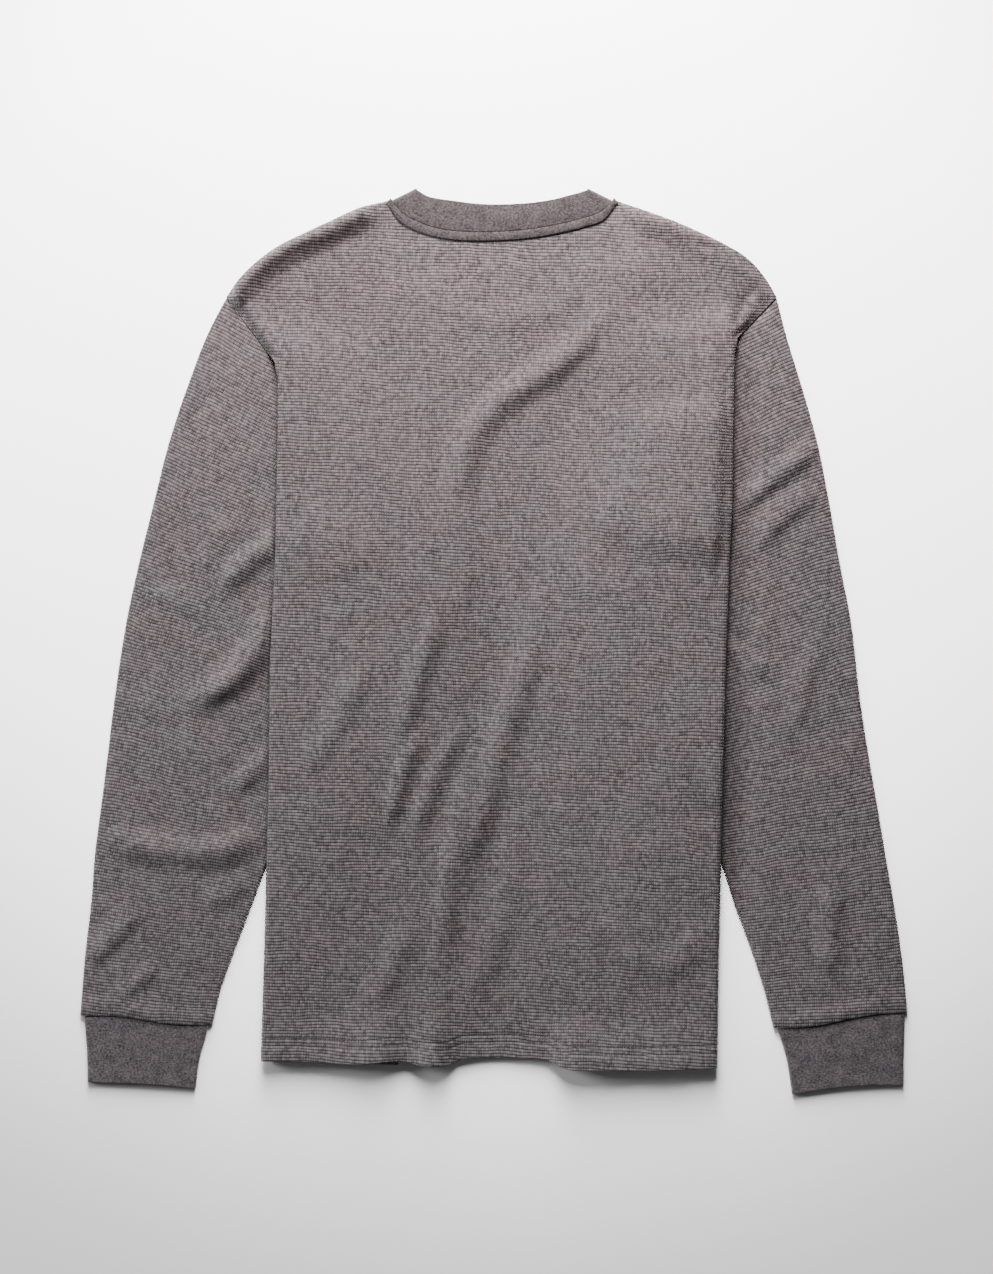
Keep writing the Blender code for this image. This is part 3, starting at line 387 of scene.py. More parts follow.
def crease_height(creases, x, y):
    """Height that a list of creases adds at places x, y. Where creases meet they blend."""
    x = np.asarray(x, float)
    y = np.asarray(y, float)
    total = np.zeros(x.shape)
    for crease in creases:
        places = np.array(crease.places, float)
        steps = np.arange(len(places))
        along = np.linspace(0.0, len(places) - 1.0, CREASE_STEPS * len(places))
        line_x = smooth_through(steps, places[:, 0], along)
        line_y = smooth_through(steps, places[:, 1], along)
        away_x = x[..., None] - line_x
        away_y = y[..., None] - line_y
        nearest = np.argmin(away_x ** 2 + away_y ** 2, axis=-1)
        off_x = np.take_along_axis(away_x, nearest[..., None], -1)[..., 0]
        off_y = np.take_along_axis(away_y, nearest[..., None], -1)[..., 0]
        run_x = np.gradient(line_x)[nearest]
        run_y = np.gradient(line_y)[nearest]
        side = run_x * off_y - run_y * off_x
        run = np.hypot(run_x, run_y)
        beyond = np.abs(run_x * off_x + run_y * off_y) / run
        across = np.abs(side) / run
        flank = np.where(side > 0.0, crease.left_flank, crease.right_flank)
        reach = np.hypot(across / flank, beyond / (0.5 * (crease.left_flank + crease.right_flank)))
        part = along[nearest] / along[-1]
        taper = smooth_step(part / CREASE_FADE) * smooth_step((1.0 - part) / CREASE_FADE)
        bump = 0.5 * (1.0 + np.cos(math.pi * np.clip(reach, 0.0, 1.0)))
        total += (crease.height * (CREASE_END + (1.0 - CREASE_END) * taper) * bump) ** CREASE_BLEND
    return total ** (1.0 / CREASE_BLEND)


# ---- lie of the body

def fold_out(side, y):
    """Distance out of the middle of the wall at the folded edge."""
    return interpolate(FOLD_ROWS[side], "out", y) - WALL / 2.0


def cut_half_width(side, y):
    return interpolate(CUT_ROWS[side], "half_width", y)


def flap_end(side, y):
    """Distance out of the flap's end: the hidden side seam."""
    bend = (math.pi - 2.0) * FOLD_RADIUS
    return 2.0 * fold_out(side, y) - cut_half_width(side, y) + bend


def past_armhole(side, out, y):
    """Distance past the hidden armhole line, towards the middle of the body."""
    top_out, top_y = FOLD_TOP[side]
    under_out, under_y = UNDERARM[side]
    length = math.hypot(top_out - under_out, top_y - under_y)
    across = (top_y - under_y) / length
    up = (top_out - under_out) / length
    return -(out - top_out) * across + (y - top_y) * up


def past_sleeve_edge(side, out, y):
    """Distance past the sleeve's hidden underarm edge, downwards and towards the middle."""
    under_out, under_y = UNDERARM[side]
    elbow = SLEEVE_ROWS[side][ELBOW_ROW]
    length = math.hypot(elbow.inner_x - under_out, elbow.inner_y - under_y)
    across = (under_y - elbow.inner_y) / length
    down = (elbow.inner_x - under_out) / length
    return -(out - under_out) * across - (y - under_y) * down


def raised_part(side, out, y):
    """1 beside the fold, down to 0 at the armhole seam above it, where the body meets the sleeve."""
    top_y = FOLD_TOP[side][1]
    tip_y = SHOULDER_TIP[side][1]
    up = smooth_step((tip_y - y) / (tip_y - top_y))
    inside = cut_half_width(side, y) - out
    part = np.clip((y - top_y) / (tip_y - top_y), 0.0, 1.0)
    flank = SEAM_FLANK_LOW + (SEAM_FLANK_HIGH - SEAM_FLANK_LOW) * part
    above = smooth_step((y - top_y + SEAM_SLOPE_BELOW) / SEAM_SLOPE_RISE)
    return up * (1.0 - above * (1.0 - smooth_step(inside / flank)))


def clear_of_armhole(side, out, y):
    """0 at the armhole seam, 1 well inside it."""
    inside = cut_half_width(side, y) - out
    return smooth_step(inside / ARMHOLE_CLEAR[side])


def hem_lift(side, out, y):
    """How far the hem's waves lift it off the surface."""
    lift = np.maximum(read(LIFT_ROWS, "x", "lift", side * out), 0.0)
    return lift * smooth_step(1.0 - (y - hem_y(side, out)) / LIFT_REACH)


def sleeve_lift(side, out, y):
    edge = smooth_step(1.0 - (past_sleeve_edge(side, out, y) - SLEEVE_MARGIN) / SLEEVE_RAMP)
    end = smooth_step(1.0 - (past_armhole(side, out, y) - FLAP_MARGIN) / FLAP_RAMP)
    return SLEEVE_STACK * edge * end * raised_part(side, out, y)


def flap_lift(side, out, y):
    below = flap_end(side, np.minimum(y, UNDERARM[side][1])) - out
    past = np.maximum(below, past_armhole(side, out, y))
    cover = smooth_step(1.0 - (past - FLAP_MARGIN) / FLAP_RAMP)
    return (LAYER + FRONT_FOLD) * cover * raised_part(side, out, y)


def front_height(side, out, y):
    return (FLAT + sleeve_lift(side, out, y) + flap_lift(side, out, y) + shoulder_roll(side, out, y)
            + FRONT_LIFT * hem_lift(side, out, y))


def back_height(side, out, y):
    creases = crease_height(BACK_CREASES, side * out, y)
    up = y - hem_y(side, out)
    grooves = sum(smooth_step(1.0 - np.abs(up - place) / HEM_GROOVE_REACH) for place in HEM_GROOVES)
    dips = crease_height(BACK_DIPS, side * out, y)
    tip = HEM_TIP * smooth_step(1.0 - up / HEM_GROOVES[1])
    return (front_height(side, out, y) + LAYER + creases - dips - edge_drop(side, out, y)
            + BACK_LIFT * hem_lift(side, out, y) + tip - HEM_GROOVE_DEPTH * grooves)


def flap_height(side, out, y):
    return FLAT + sleeve_lift(side, out, y) + FLAP_LIFT * hem_lift(side, out, y)


def inside_shoulder(side, out, y):
    """Distance from the shoulder edge."""
    rise = shoulder_y(side, out + SLOPE_STEP) - shoulder_y(side, out - SLOPE_STEP)
    slope = rise / (2.0 * SLOPE_STEP)
    return (shoulder_y(side, out) - y) / np.sqrt(1.0 + slope ** 2)


def edge_drop(side, out, y):
    return EDGE_DROP * smooth_step(1.0 - inside_shoulder(side, out, y) / EDGE_DROP_WIDTH)


def shoulder_roll(side, out, y):
    """A soft roll along the shoulder edge, from the neck to the tip."""
    inside = inside_shoulder(side, out, y)
    start = smooth_step((out - neck_point_out(side)) / ROLL_START)
    crest = smooth_step(1.0 - (inside - ROLL_CREST) / ROLL_FLANK[side])
    slope_part = smooth_step(1.0 - (inside - ROLL_CREST) / SLOPE_WIDTH)
    edge = smooth_step(inside / ROLL_CREST) * (1.0 - ROLL_EDGE) + ROLL_EDGE
    roll = (SHOULDER_ROLL[side] * crest + SHOULDER_SLOPE[side] * slope_part) * start * edge
    return roll * clear_of_armhole(side, out, y)


# ---- body panels

def shoulder_y(side, out):
    return read(SHOULDER_ROWS, SIDE_NAME[side], "y", out)


def neck_line(points):
    """The panel's edge round the neck: a band's seam line moved down by a seam's gap."""
    points = np.asarray(points, float)
    run = np.gradient(points, axis=0)
    length = np.hypot(run[:, 0], run[:, 1])
    down = np.stack((run[:, 1], -run[:, 0]), axis=-1) / length[:, None]
    return points + down * SEAM_GAP


def neck_turns():
    """Angles of the band's sections about the neck, from the left neck point to the right."""
    middle = math.acos(NECK_MIDDLE / FRONT_NECK_SEAM[0])
    left = np.linspace(0.0, middle, NECK_COLUMNS + 1)
    right = np.linspace(middle, math.pi, NECK_COLUMNS + 1)
    return np.concatenate((left, right[1:]))


def front_neck_section(turn):
    """Seam point and free edge point of the front half of the band."""
    points = []
    for half_width, end_y, depth in (FRONT_NECK_SEAM, FRONT_NECK_EDGE):
        points.append((NECK_MIDDLE - half_width * math.cos(turn), end_y - depth * math.sin(turn)))
    return np.array(points)


def back_neck_section(turn):
    """Seam point and free edge point of the back half, straight above the front half's."""
    seam_x = NECK_MIDDLE - FRONT_NECK_SEAM[0] * math.cos(turn)
    rest = [float(read(NECK_ROWS, "seam_x", name, seam_x)) for name in ("seam_y", "top_x", "top_y")]
    return np.array(((seam_x, rest[0]), (rest[1], rest[2])))


def back_neck_line():
    return neck_line([back_neck_section(turn)[0] for turn in neck_turns()])


def front_neck_line():
    return neck_line([front_neck_section(turn)[0] for turn in neck_turns()])


def neck_columns(side):
    """Distances out of a panel's columns inside the neck point: at the band's sections."""
    out = [side * front_neck_section(turn)[0][0] for turn in neck_turns()[1:-1]]
    return np.sort([max(place, 0.0) for place in out if place > -LEAST_COLUMN])


def neck_point_out(side):
    return getattr(SHOULDER_ROWS[0], SIDE_NAME[side])


def top_edge_y(side, out, line):
    neck_point = neck_point_out(side)
    inside = out < neck_point - LEAST_COLUMN / 2.0
    on_neck = np.interp(side * out, line[:, 0], line[:, 1])
    return np.where(inside, on_neck, shoulder_y(side, np.maximum(out, neck_point)))


def hem_y(side, out):
    return read(HEM_ROWS, "x", "y", side * out)


def half_columns(side, y, cloth):
    """Distances along the cloth from the middle to its edge, closer together at the fold."""
    start = fold_out(side, y) - FOLD_RADIUS
    whole = cut_half_width(side, y)
    inner_turn = np.clip((whole - start) / FOLD_RADIUS, 0.0, math.pi)
    whole -= (FOLD_RADIUS - cloth.radius) * inner_turn + cloth.scoop(side, y)
    least_bend = FOLD_COLUMNS * cloth.least_column
    least_flap = FLAP_COLUMNS * cloth.least_column
    bend = min(max(whole - start - least_flap, least_bend), math.pi * cloth.radius)
    flap = max(whole - start - bend, least_flap)
    top = whole - bend - flap
    shoulder = np.linspace(neck_point_out(side), top, SHOULDER_COLUMNS + 1)
    fold_part = top + bend * np.arange(1, FOLD_COLUMNS + 1) / FOLD_COLUMNS
    first = min(flap / FLAP_COLUMNS, NEAR_FOLD)
    flap_part = top + bend + np.linspace(first, flap, FLAP_COLUMNS)
    return np.concatenate((neck_columns(side), shoulder, fold_part, flap_part))


def lay_half_row(side, part, cloth):
    """Points of one side of one row, from the middle out, round the fold and under.

    part is how far up the panel the row is: 0 at the hem, 1 at the shoulder.
    """
    tip_y = SHOULDER_TIP[side][1]
    inset = cloth.inset * (1.0 - part) ** INSET_FADE
    edge_hem = FLAP_HEM[side] + inset
    edge_y = edge_hem + part * (tip_y - edge_hem)
    along = half_columns(side, edge_y, cloth)
    top_y = top_edge_y(side, half_columns(side, tip_y, cloth), cloth.neck_line)
    start = fold_out(side, edge_y) - FOLD_RADIUS
    on_top = np.minimum(along, start)
    beyond = np.clip((along - start) / np.maximum(along[-1] - start, 1.0), 0.0, 1.0)
    under_hem = (hem_y(side, start) + inset) * (1.0 - beyond) + edge_hem * beyond
    low_y = np.where(along > start, under_hem, hem_y(side, on_top) + inset)
    y = low_y + part * (tip_y - low_y) + part ** ROW_CURVE * (top_y - tip_y)

    turn = np.clip((along - start) / cloth.radius, 0.0, math.pi)
    under = np.maximum(along - start - math.pi * cloth.radius, 0.0)
    out = np.where(along < start, along, start + cloth.radius * np.sin(turn) - under)
    upper = cloth.upper(side, np.minimum(along, start), y)
    lower = cloth.lower(side, np.minimum(out, start), y)
    bend_height = (upper + lower) / 2.0 + (upper - lower) / 2.0 * np.cos(turn)
    z = np.where(along < start, upper, np.where(under > 0.0, lower, bend_height))
    return np.stack((side * out, y, z, side * along, y), axis=-1)


BodyCloth = namedtuple("BodyCloth", "radius least_column inset scoop neck_line upper lower")


def body_rows():
    """How far up the panel each row is, closer together where the folds begin."""
    low = FLAP_HEM[LEFT]
    hem = [low + up for up in HEM_CLOSE_ROWS]
    plain = np.linspace(hem[-1], ROLL_ROWS[0], BODY_ROW_COUNT)[1:-1]
    return [(y - low) / (SHOULDER_TIP[LEFT][1] - low) for y in (*hem, *plain, *ROLL_ROWS)]


def body_panel(cloth):
    rows = []
    for part in body_rows():
        left = lay_half_row(LEFT, part, cloth)
        right = lay_half_row(RIGHT, part, cloth)
        middle = (left[:1] + right[:1]) / 2.0
        rows.append(np.concatenate((left[:0:-1], middle, right[1:])))
    return np.array(rows)


def front_scoop(side, y):
    return interpolate(SCOOP_ROWS, SIDE_NAME[side], y)


def back_cloth():
    return BodyCloth(FOLD_RADIUS, LEAST_COLUMN, 0.0, lambda side, y: 0.0, back_neck_line(),
                     back_height, flap_height)


def front_cloth():
    """The front lies inside the back's side folds."""
    def front_flap_height(side, out, y):
        return flap_height(side, out, y) + LAYER

    return BodyCloth(FRONT_FOLD / 2.0, LEAST_FRONT_COLUMN, HIDDEN_INSET, front_scoop,
                     front_neck_line(), front_height, front_flap_height)


# ---- sleeves and cuffs

def armhole_point(side, part):
    """Place on the armhole line: part 0 at the underarm, 1 at the shoulder tip."""
    under_out, under_y = UNDERARM[side]
    top_out, top_y = FOLD_TOP[side]
    y = under_y + part * (SHOULDER_TIP[side][1] - under_y)
    hidden = under_out + (y - under_y) * (top_out - under_out) / (top_y - under_y)
    return np.where(y > top_y, cut_half_width(side, y), hidden), y


def closed_section(width, upper, lower, wall):
    """Across and height round a flattened tube, from the inner edge over the top and back.

    upper and lower are heights of the middle of the wall, as functions of the place across.
    """
    radius = (float(upper(0.0)) - float(lower(0.0))) / 2.0
    inner = wall / 2.0 + radius
    outer = width - inner
    over = np.linspace(inner, outer, SLEEVE_COLUMNS + 1)
    back = over[::-1]
    turns = math.pi * np.arange(1, SLEEVE_FOLD_COLUMNS) / SLEEVE_FOLD_COLUMNS
    across = np.concatenate((
        over, outer + radius * np.sin(turns), back, inner - radius * np.sin(turns)))
    place = np.clip(across / width, 0.0, 1.0)
    high = upper(place)
    low = lower(place)
    swing = np.concatenate((
        np.ones(len(over)), np.cos(turns), -np.ones(len(back)), -np.cos(turns)))
    return across, (high + low) / 2.0 + swing * (high - low) / 2.0


def sleeve_top_shape(side, out, y, place):
    """Height of the sleeve's upper layer above its lower one."""
    top_y = FOLD_TOP[side][1]
    clear = np.maximum(out - fold_out(side, np.minimum(y, top_y)), y - top_y)
    free = smooth_step((clear - LOFT_START) / LOFT_REACH)
    bow = np.sin(math.pi * np.clip(place, 0.0, 1.0)) ** LOFT_ROUNDNESS
    clear_of_body = smooth_step((clear - CREASE_CLEAR) / CREASE_RISE)
    ridges = crease_height(SLEEVE_CREASES[side], side * out, y) * clear_of_body
    near = smooth_step(1.0 + past_armhole(side, out, y) / RISE_REACH)
    return LAYER + SLEEVE_LOFT * free * bow * (1.0 - near) + ridges


def sleeve_edge(side, name, along):
    return np.array([float(read(SLEEVE_ROWS[side], "along", name + axis, along)) for axis in ("_x", "_y")])


def sleeve_row(side, along):
    """One row across a sleeve: its width, its place and its heights, all but the first as functions.

    They are functions of the part across, 0 at the underarm seam and 1 at the outer edge.
    """
    outer = sleeve_edge(side, "outer", along)
    inner = sleeve_edge(side, "inner", along)
    width, down_way = section_width(outer, inner)
    follow = float(smooth_step(1.0 - along / (2.0 * WAVE_REACH)))
    wave = CUFF_SEAM_WAVE * float(smooth_step((along - 1.0) / WAVE_REACH + 1.0))

    def place_of(part):
        straight = inner + np.multiply.outer(part, outer - inner)
        line_x, line_y = armhole_point(side, part)
        bent = np.stack((line_x, line_y), axis=-1)
        ends = np.array(UNDERARM[side]), np.array(SHOULDER_TIP[side])
        chord = ends[0] + np.multiply.outer(part, ends[1] - ends[0])
        shift = np.multiply.outer(wave * np.sin(2.0 * math.pi * part), -down_way)
        gap = down_way * ARMHOLE_GAP * (1.0 if along == 0.0 else 0.0)
        return straight + (bent - chord) * follow + shift + gap

    def upper(part):
        xy = place_of(np.asarray(part, float))
        span = END_ROLL_SPAN
        end = smooth_step((along - span.start) / span.rise) * smooth_step((span.end - along) / span.fall)
        dip_along = ARMHOLE_DIP * smooth_step(1.0 - along / ARMHOLE_DIP_REACH)
        dip = dip_along * smooth_step((np.asarray(part) - ARMHOLE_DIP_FROM) / ARMHOLE_DIP_RISE)
        return FLAT + sleeve_top_shape(side, xy[..., 0], xy[..., 1], part) + END_ROLL * end - dip

    def lower(part):
        return FLAT + 0.0 * np.asarray(part, float)

    return width, place_of, upper, lower


SleeveKnit = namedtuple("SleeveKnit", "x y radius")
SLEEVE_KNIT = {  # its knit rows fan out from a place far across the body
    LEFT: SleeveKnit(-1118.0, -438.0, 1420.0),
    RIGHT: SleeveKnit(-1006.0, -358.0, 1280.0),
}


def sleeve_knit_place(side, out, y):
    """Distance along a row of the sleeve's knit, and up across the rows."""
    knit = SLEEVE_KNIT[side]
    return np.hypot(out - knit.x, y - knit.y), knit.radius * np.arctan2(y - knit.y, out - knit.x)


def round_coordinate(across, width):
    """Distance round a flattened tube, from its inner edge over the top and back underneath."""
    half = len(across) // 2
    under = np.arange(len(across)) > half
    return np.where(under, 2.0 * width - across, across)


def edge_steps(count, edge):
    """Even steps from 0 to 1, with one more close to each end."""
    steps = np.linspace(0.0, 1.0, count + 1)
    return np.concatenate(((0.0, edge), steps[1:-1], (1.0 - edge, 1.0)))


def sleeve(side):
    rows = []
    for along in edge_steps(SLEEVE_ROW_COUNT, EDGE_ROW / SLEEVE_LENGTH):
        width, place_of, upper, lower = sleeve_row(side, along)
        across, height = closed_section(width, upper, lower, WALL)
        xy = place_of(across / width)
        around, up = sleeve_knit_place(side, xy[..., 0], xy[..., 1])
        under = np.arange(len(across)) > SLEEVE_COLUMNS
        around = np.where(under, 2.0 * around[SLEEVE_COLUMNS] - around + math.pi, around)
        rows.append(np.stack((side * xy[..., 0], xy[..., 1], height, side * around, up), axis=-1))
    return np.array(rows)


def cuff_shape(side, at):
    """One section of a cuff, at 0 the seam to 1 the free end."""
    rows = CUFF_ROWS[side]
    places = np.linspace(0.0, 1.0, len(rows))
    return CuffRow(*(float(smooth_through(places, column(rows, name), at)) for name in CuffRow._fields))


def cuff(side):
    rows = []
    for at in edge_steps(CUFF_ROW_COUNT, EDGE_ROW / CUFF_LENGTH):
        row = cuff_shape(side, at)
        outer = np.array((row.outer_x, row.outer_y))
        inner = np.array((row.inner_x, row.inner_y))
        width, down_way = section_width(outer, inner)
        fullness = (CUFF_LOFT * (CUFF_LOFT_ENDS + CUFF_LOFT_SWELL * math.sin(math.pi * at))
                    + CUFF_END_ROLL * smooth_step((at - CUFF_END_FROM) / CUFF_END_RISE))

        def upper(part):
            return BAND_WALL / 2.0 + CUFF_LAYER + fullness * np.sin(math.pi * np.asarray(part))

        def lower(part):
            return BAND_WALL / 2.0 + 0.0 * np.asarray(part)

        across, height = closed_section(width, upper, lower, BAND_WALL)
        part = across / width
        up = row.bow * np.sin(math.pi * part) + row.wave * np.sin(2.0 * math.pi * part)
        gap = SEAM_GAP if at == 0.0 else 0.0
        xy = inner + np.multiply.outer(part, outer - inner) - np.multiply.outer(up - gap, down_way)
        rows.append(np.stack((side * xy[..., 0], xy[..., 1], height,
                              side * round_coordinate(across, width), xy[..., 1]), axis=-1))
    return np.array(rows)


# ---- neck

def neckband():
    """A flattened ring: back half on top, turned over at both neck points, front half below."""
    low = BAND_WALL / 2.0
    radius = (BACK_BAND_HEIGHT - low) / 2.0
    middle = (BACK_BAND_HEIGHT + low) / 2.0
    back = [back_neck_section(turn) for turn in neck_turns()]
    sections = [(section, BACK_BAND_HEIGHT, 1.0) for section in back]

    def corner(section, side):
        run = section[1] - section[0]
        away = np.array((abs(run[1]) * side, abs(run[0]))) / np.hypot(*run)
        for turn in math.pi * np.arange(1, NECK_TURN_STEPS) / NECK_TURN_STEPS:
            yield section + away * radius * math.sin(turn), middle + radius * math.cos(turn), 0.0

    sections += list(corner(back[-1], RIGHT))
    sections += [(front_neck_section(turn), low, 0.0) for turn in neck_turns()[::-1]]
    sections += [(s, 2.0 * middle - z, 0.0) for s, z, _ in corner(back[0], LEFT)]
    rows = []
    for part in edge_steps(BAND_ROW_COUNT, EDGE_ROW / BAND_HEIGHT):
        row = []
        around = 0.0
        before = None
        for section, z, full in sections:
            place = section[0] + part * (section[1] - section[0])
            centre = (section[0] + section[1]) / 2.0
            if before is not None:
                around += float(np.hypot(*(centre - before)))
            before = centre
            roll = BAND_ROLL * full * math.sin(math.pi * part) ** BAND_ROUNDNESS
            row.append((*place, z + roll, around, BAND_MAP_HEIGHT * part))
        rows.append(row)
    return np.array(rows)


def tape_line():
    """The back panel's neck edge from one neck point to the other, and the tape's width along it."""
    ends = [(side * neck_point_out(side), SHOULDER_ROWS[0].y) for side in (LEFT, RIGHT)]
    line = np.array([ends[0], *back_neck_line(), ends[1]])
    travelled = distance_along(line)
    from_end = np.minimum(travelled, travelled[-1] - travelled)
    return line, TAPE_WIDTH * (TAPE_END + (1.0 - TAPE_END) * smooth_step(from_end / TAPE_TAPER))


def neck_binding():
    """Tape over the back neck seam: the panel's own points, moved out."""
    line, width = tape_line()
    seam_x, seam_y = line.T
    taper = (1.0 - width / TAPE_WIDTH) / (1.0 - TAPE_END)
    at_end = smooth_step(taper * TAPE_END_SHARE - (TAPE_END_SHARE - 1.0))
    run_x = np.gradient(seam_x)
    run_y = np.gradient(seam_y)
    length = np.hypot(run_x, run_y)
    around = np.cumsum(length)
    rows = []
    for part in edge_steps(BAND_ROW_COUNT, EDGE_ROW / TAPE_WIDTH):
        out = width * part - TAPE_OVERLAP * at_end * (1.0 - part)
        x = seam_x + run_y / length * out
        y = seam_y - run_x / length * out
        side = np.where(x < 0.0, LEFT, RIGHT)
        z = np.array([float(back_height(s, abs(a), b)) for s, a, b in zip(side, x, y)])
        roll = TAPE_ROLL * math.sin(math.pi * part) ** TAPE_ROUNDNESS + TAPE_END_RISE * at_end * (1.0 - part)
        rows.append(np.stack((x, y, z + WALL / 2.0 + TOUCH_GAP + TAPE_WALL / 2.0 + roll,
                              around, np.full(len(x), TAPE_WIDTH * part)), axis=-1))
    return np.array(rows)


# ---- materials

UV_UNIT = 100.0  # millimetres of cloth to one unit of its map
ROW_HEIGHT = 2.62  # waffle cells
CELL_WIDTH = 1.98
ROW_WANDER = 7.0  # a row wanders up and down this much along its length
ROW_SHAKE = 0.9  # and this much over short stretches
CELL_WANDER = 5.0  # and a column of cells this much sideways
PIT_SHADE_TONE = 0.50  # painted shade: how much a cell's height lightens its colour, so that the pits between cells come out darker
CELL_TONE = 0.36  # and how much chance does, cell by cell
STREAK_TONE = (-0.215, 0.265)  # light and dark stretches that each row has of its own
CLOUD_TONE = (-0.01, 0.02)
GROOVE = 0.95  # in a groove the cosine of a cell's place is above this
ROW_CREST = -0.4  # and a cell stands at its full height where it is below these
CELL_CREST = -0.3
PARTED = (0.35, 0.80)  # how deeply the cells of a row are parted, from place to place
WALE_WIDTH = 1.1  # ribs of stitches in the jersey
WALE_PART = 0.2  # how much they show beside its specks

# Noises: scale to a millimetre of cloth, detail and roughness. Stretches come on top of the scale.
Noise = namedtuple("Noise", "scale detail roughness", defaults=(2.0, 0.5))
ROW_WANDER_NOISE = Noise(0.018)
ROW_SHAKE_NOISE = Noise(0.13)
CELL_WANDER_NOISE = Noise(0.03)
PARTED_NOISE = Noise(0.07)
STREAK_NOISE = Noise(1.0, 3.0, 0.7)
CLOUD_NOISE = Noise(0.05, 3.0, 0.6)
PATCH_NOISE = Noise(0.022, 3.0)
RUMPLE_NOISE = Noise(0.045, 3.0, 0.55)
SPECK_NOISE = Noise(0.55, 3.0, 0.75)
JERSEY_CLOUD_NOISE = Noise(0.11)
JERSEY_STREAK_NOISE = Noise(1.0, 1.0)
THREAD_NOISE = Noise(900.0)  # this one to a metre
STREAK_STRETCH = (0.24, 7.31)  # along a row, and from one row to the next
JERSEY_STREAK_STRETCH = (0.5, 1.1)
CLOUD_STRETCH = 0.6
RUMPLE_STRETCH = 1.2

# Bumps: strength, and height in metres
Bump = namedtuple("Bump", "strength distance")
CELL_BUMP = Bump(0.7, 0.0006)
RUMPLE_BUMP = Bump(1.0, 0.0010)
JERSEY_BUMP = Bump(0.6, 0.0006)

KNIT_DARK = (0.036, 0.033, 0.034, 1.0)
KNIT_LIGHT = (0.350, 0.318, 0.325, 1.0)
# The collar's copy of the jersey is darker than the cuffs': painted shade, to darken it under the top lamp
# that stands near the neck
SHADED_BAND_DARK = (0.045, 0.0415, 0.043, 1.0)
SHADED_BAND_LIGHT = (0.170, 0.1555, 0.161, 1.0)
CUFF_DARK = (0.059, 0.0555, 0.059, 1.0)
CUFF_LIGHT = (0.256, 0.237, 0.251, 1.0)
THREAD_COLOUR = (0.22, 0.205, 0.21, 1.0)
THREAD_SHADE = 0.75  # its darker places
PATCH_TINTS = ((0.965, 1.01, 1.0, 1.0), (1.025, 0.99, 1.0, 1.0))  # faint patches, green to red
WARM_LIGHT_TINTS = ((0.968, 1.0, 1.0, 1.0), (1.03, 0.995, 1.012, 1.0))  # painted warm light: cooler low down, warmer towards the shoulders
# the painted warm light grows between these heights on the body
WARM_FROM = 0.0
WARM_TO = 0.28
# The paper's own colour is white; its fall to grey away from a middle is painted shade
PAPER_LIGHT = (0.90, 0.90, 0.90, 1.0)
PAPER_PAINTED_SHADE = (0.43, 0.43, 0.43, 1.0)
PAPER_MIDDLE = (0.0, 0.2, 0.0)  # painted light: the paper is lightest here
LIGHT_REACH = 0.40  # as far as this
PAINTED_SHADE_REACH = 0.82  # and darkest beyond this, in painted shade
FIBRE = {"Specular IOR Level": 0.25, "Sheen Weight": 0.12}


class Graph:
    """Short calls for building one material's nodes."""

    def __init__(self, name):
        self.material = bpy.data.materials.new(name)
        self.material.use_nodes = True
        self.tree = self.material.node_tree

    def put(self, inputs, values):
        """Set inputs, or link them to the output that is given."""
        for name, value in values.items():
            if isinstance(value, bpy.types.NodeSocket):
                self.tree.links.new(value, inputs[name])
            else:
                inputs[name].default_value = value

    def node(self, kind, output, values, **settings):
        """One output of a new node."""
        made = self.tree.nodes.new(kind)
        for name, value in settings.items():
            setattr(made, name, value)
        self.put(made.inputs, values)
        return made.outputs[output]

    def done(self, values):
        """The material, with its shader's inputs set."""
        self.put(self.tree.nodes["Principled BSDF"].inputs, values)
        return self.material

    def math(self, operation, *values, clamp=False):
        return self.node("ShaderNodeMath", 0, dict(enumerate(values)), operation=operation, use_clamp=clamp)

    def plus(self, first, second, clamp=False):
        return self.math("ADD", first, second, clamp=clamp)

    def minus(self, first, second):
        return self.math("SUBTRACT", first, second)

    def times(self, first, second):
        return self.math("MULTIPLY", first, second)

    def vector(self, x, y, z=0.0):
        """A place. Its z sets one noise apart from another of the same places."""
        return self.node("ShaderNodeCombineXYZ", 0, {0: x, 1: y, 2: z})

    def split(self, vector):
        return self.node("ShaderNodeSeparateXYZ", 0, {0: vector}).node.outputs

    def noise(self, vector, kind):
        values = {"Vector": vector, "Scale": kind.scale, "Detail": kind.detail,
                  "Roughness": kind.roughness}
        return self.node("ShaderNodeTexNoise", "Fac", values, noise_dimensions="3D")

    def spread(self, value, low, high, to_low=0.0, to_high=1.0, kind="LINEAR"):
        """Low to high becomes to_low to to_high. A noise seldom leaves 0.3 to 0.7."""
        values = {"Value": value, "From Min": low, "From Max": high, "To Min": to_low, "To Max": to_high}
        return self.node("ShaderNodeMapRange", "Result", values, interpolation_type=kind)

    def mix(self, part, first, second, kind="MIX"):
        values = {"Factor": part, "A": first, "B": second}
        return self.node("ShaderNodeMix", "Result", values, data_type="RGBA", blend_type=kind)

    def bump(self, height, kind, **normal):
        values = {"Strength": kind.strength, "Distance": kind.distance, "Height": height, **normal}
        return self.node("ShaderNodeBump", "Normal", values)

    def body_place(self):
        return self.node("ShaderNodeTexCoord", "Object", {})

    def cloth_place(self):
        """Distance across and along the cloth, in millimetres."""
        place = self.split(self.node("ShaderNodeUVMap", "UV", {}, uv_map="cloth"))
        return self.times(place["X"], UV_UNIT), self.times(place["Y"], UV_UNIT)

    def ridge(self, count, crest):
        """0 at each whole number of a running count, 1 between them where its cosine is below crest."""
        turn = self.times(self.math("FRACT", count), 2.0 * math.pi)
        return self.spread(self.math("COSINE", turn), GROOVE, crest)


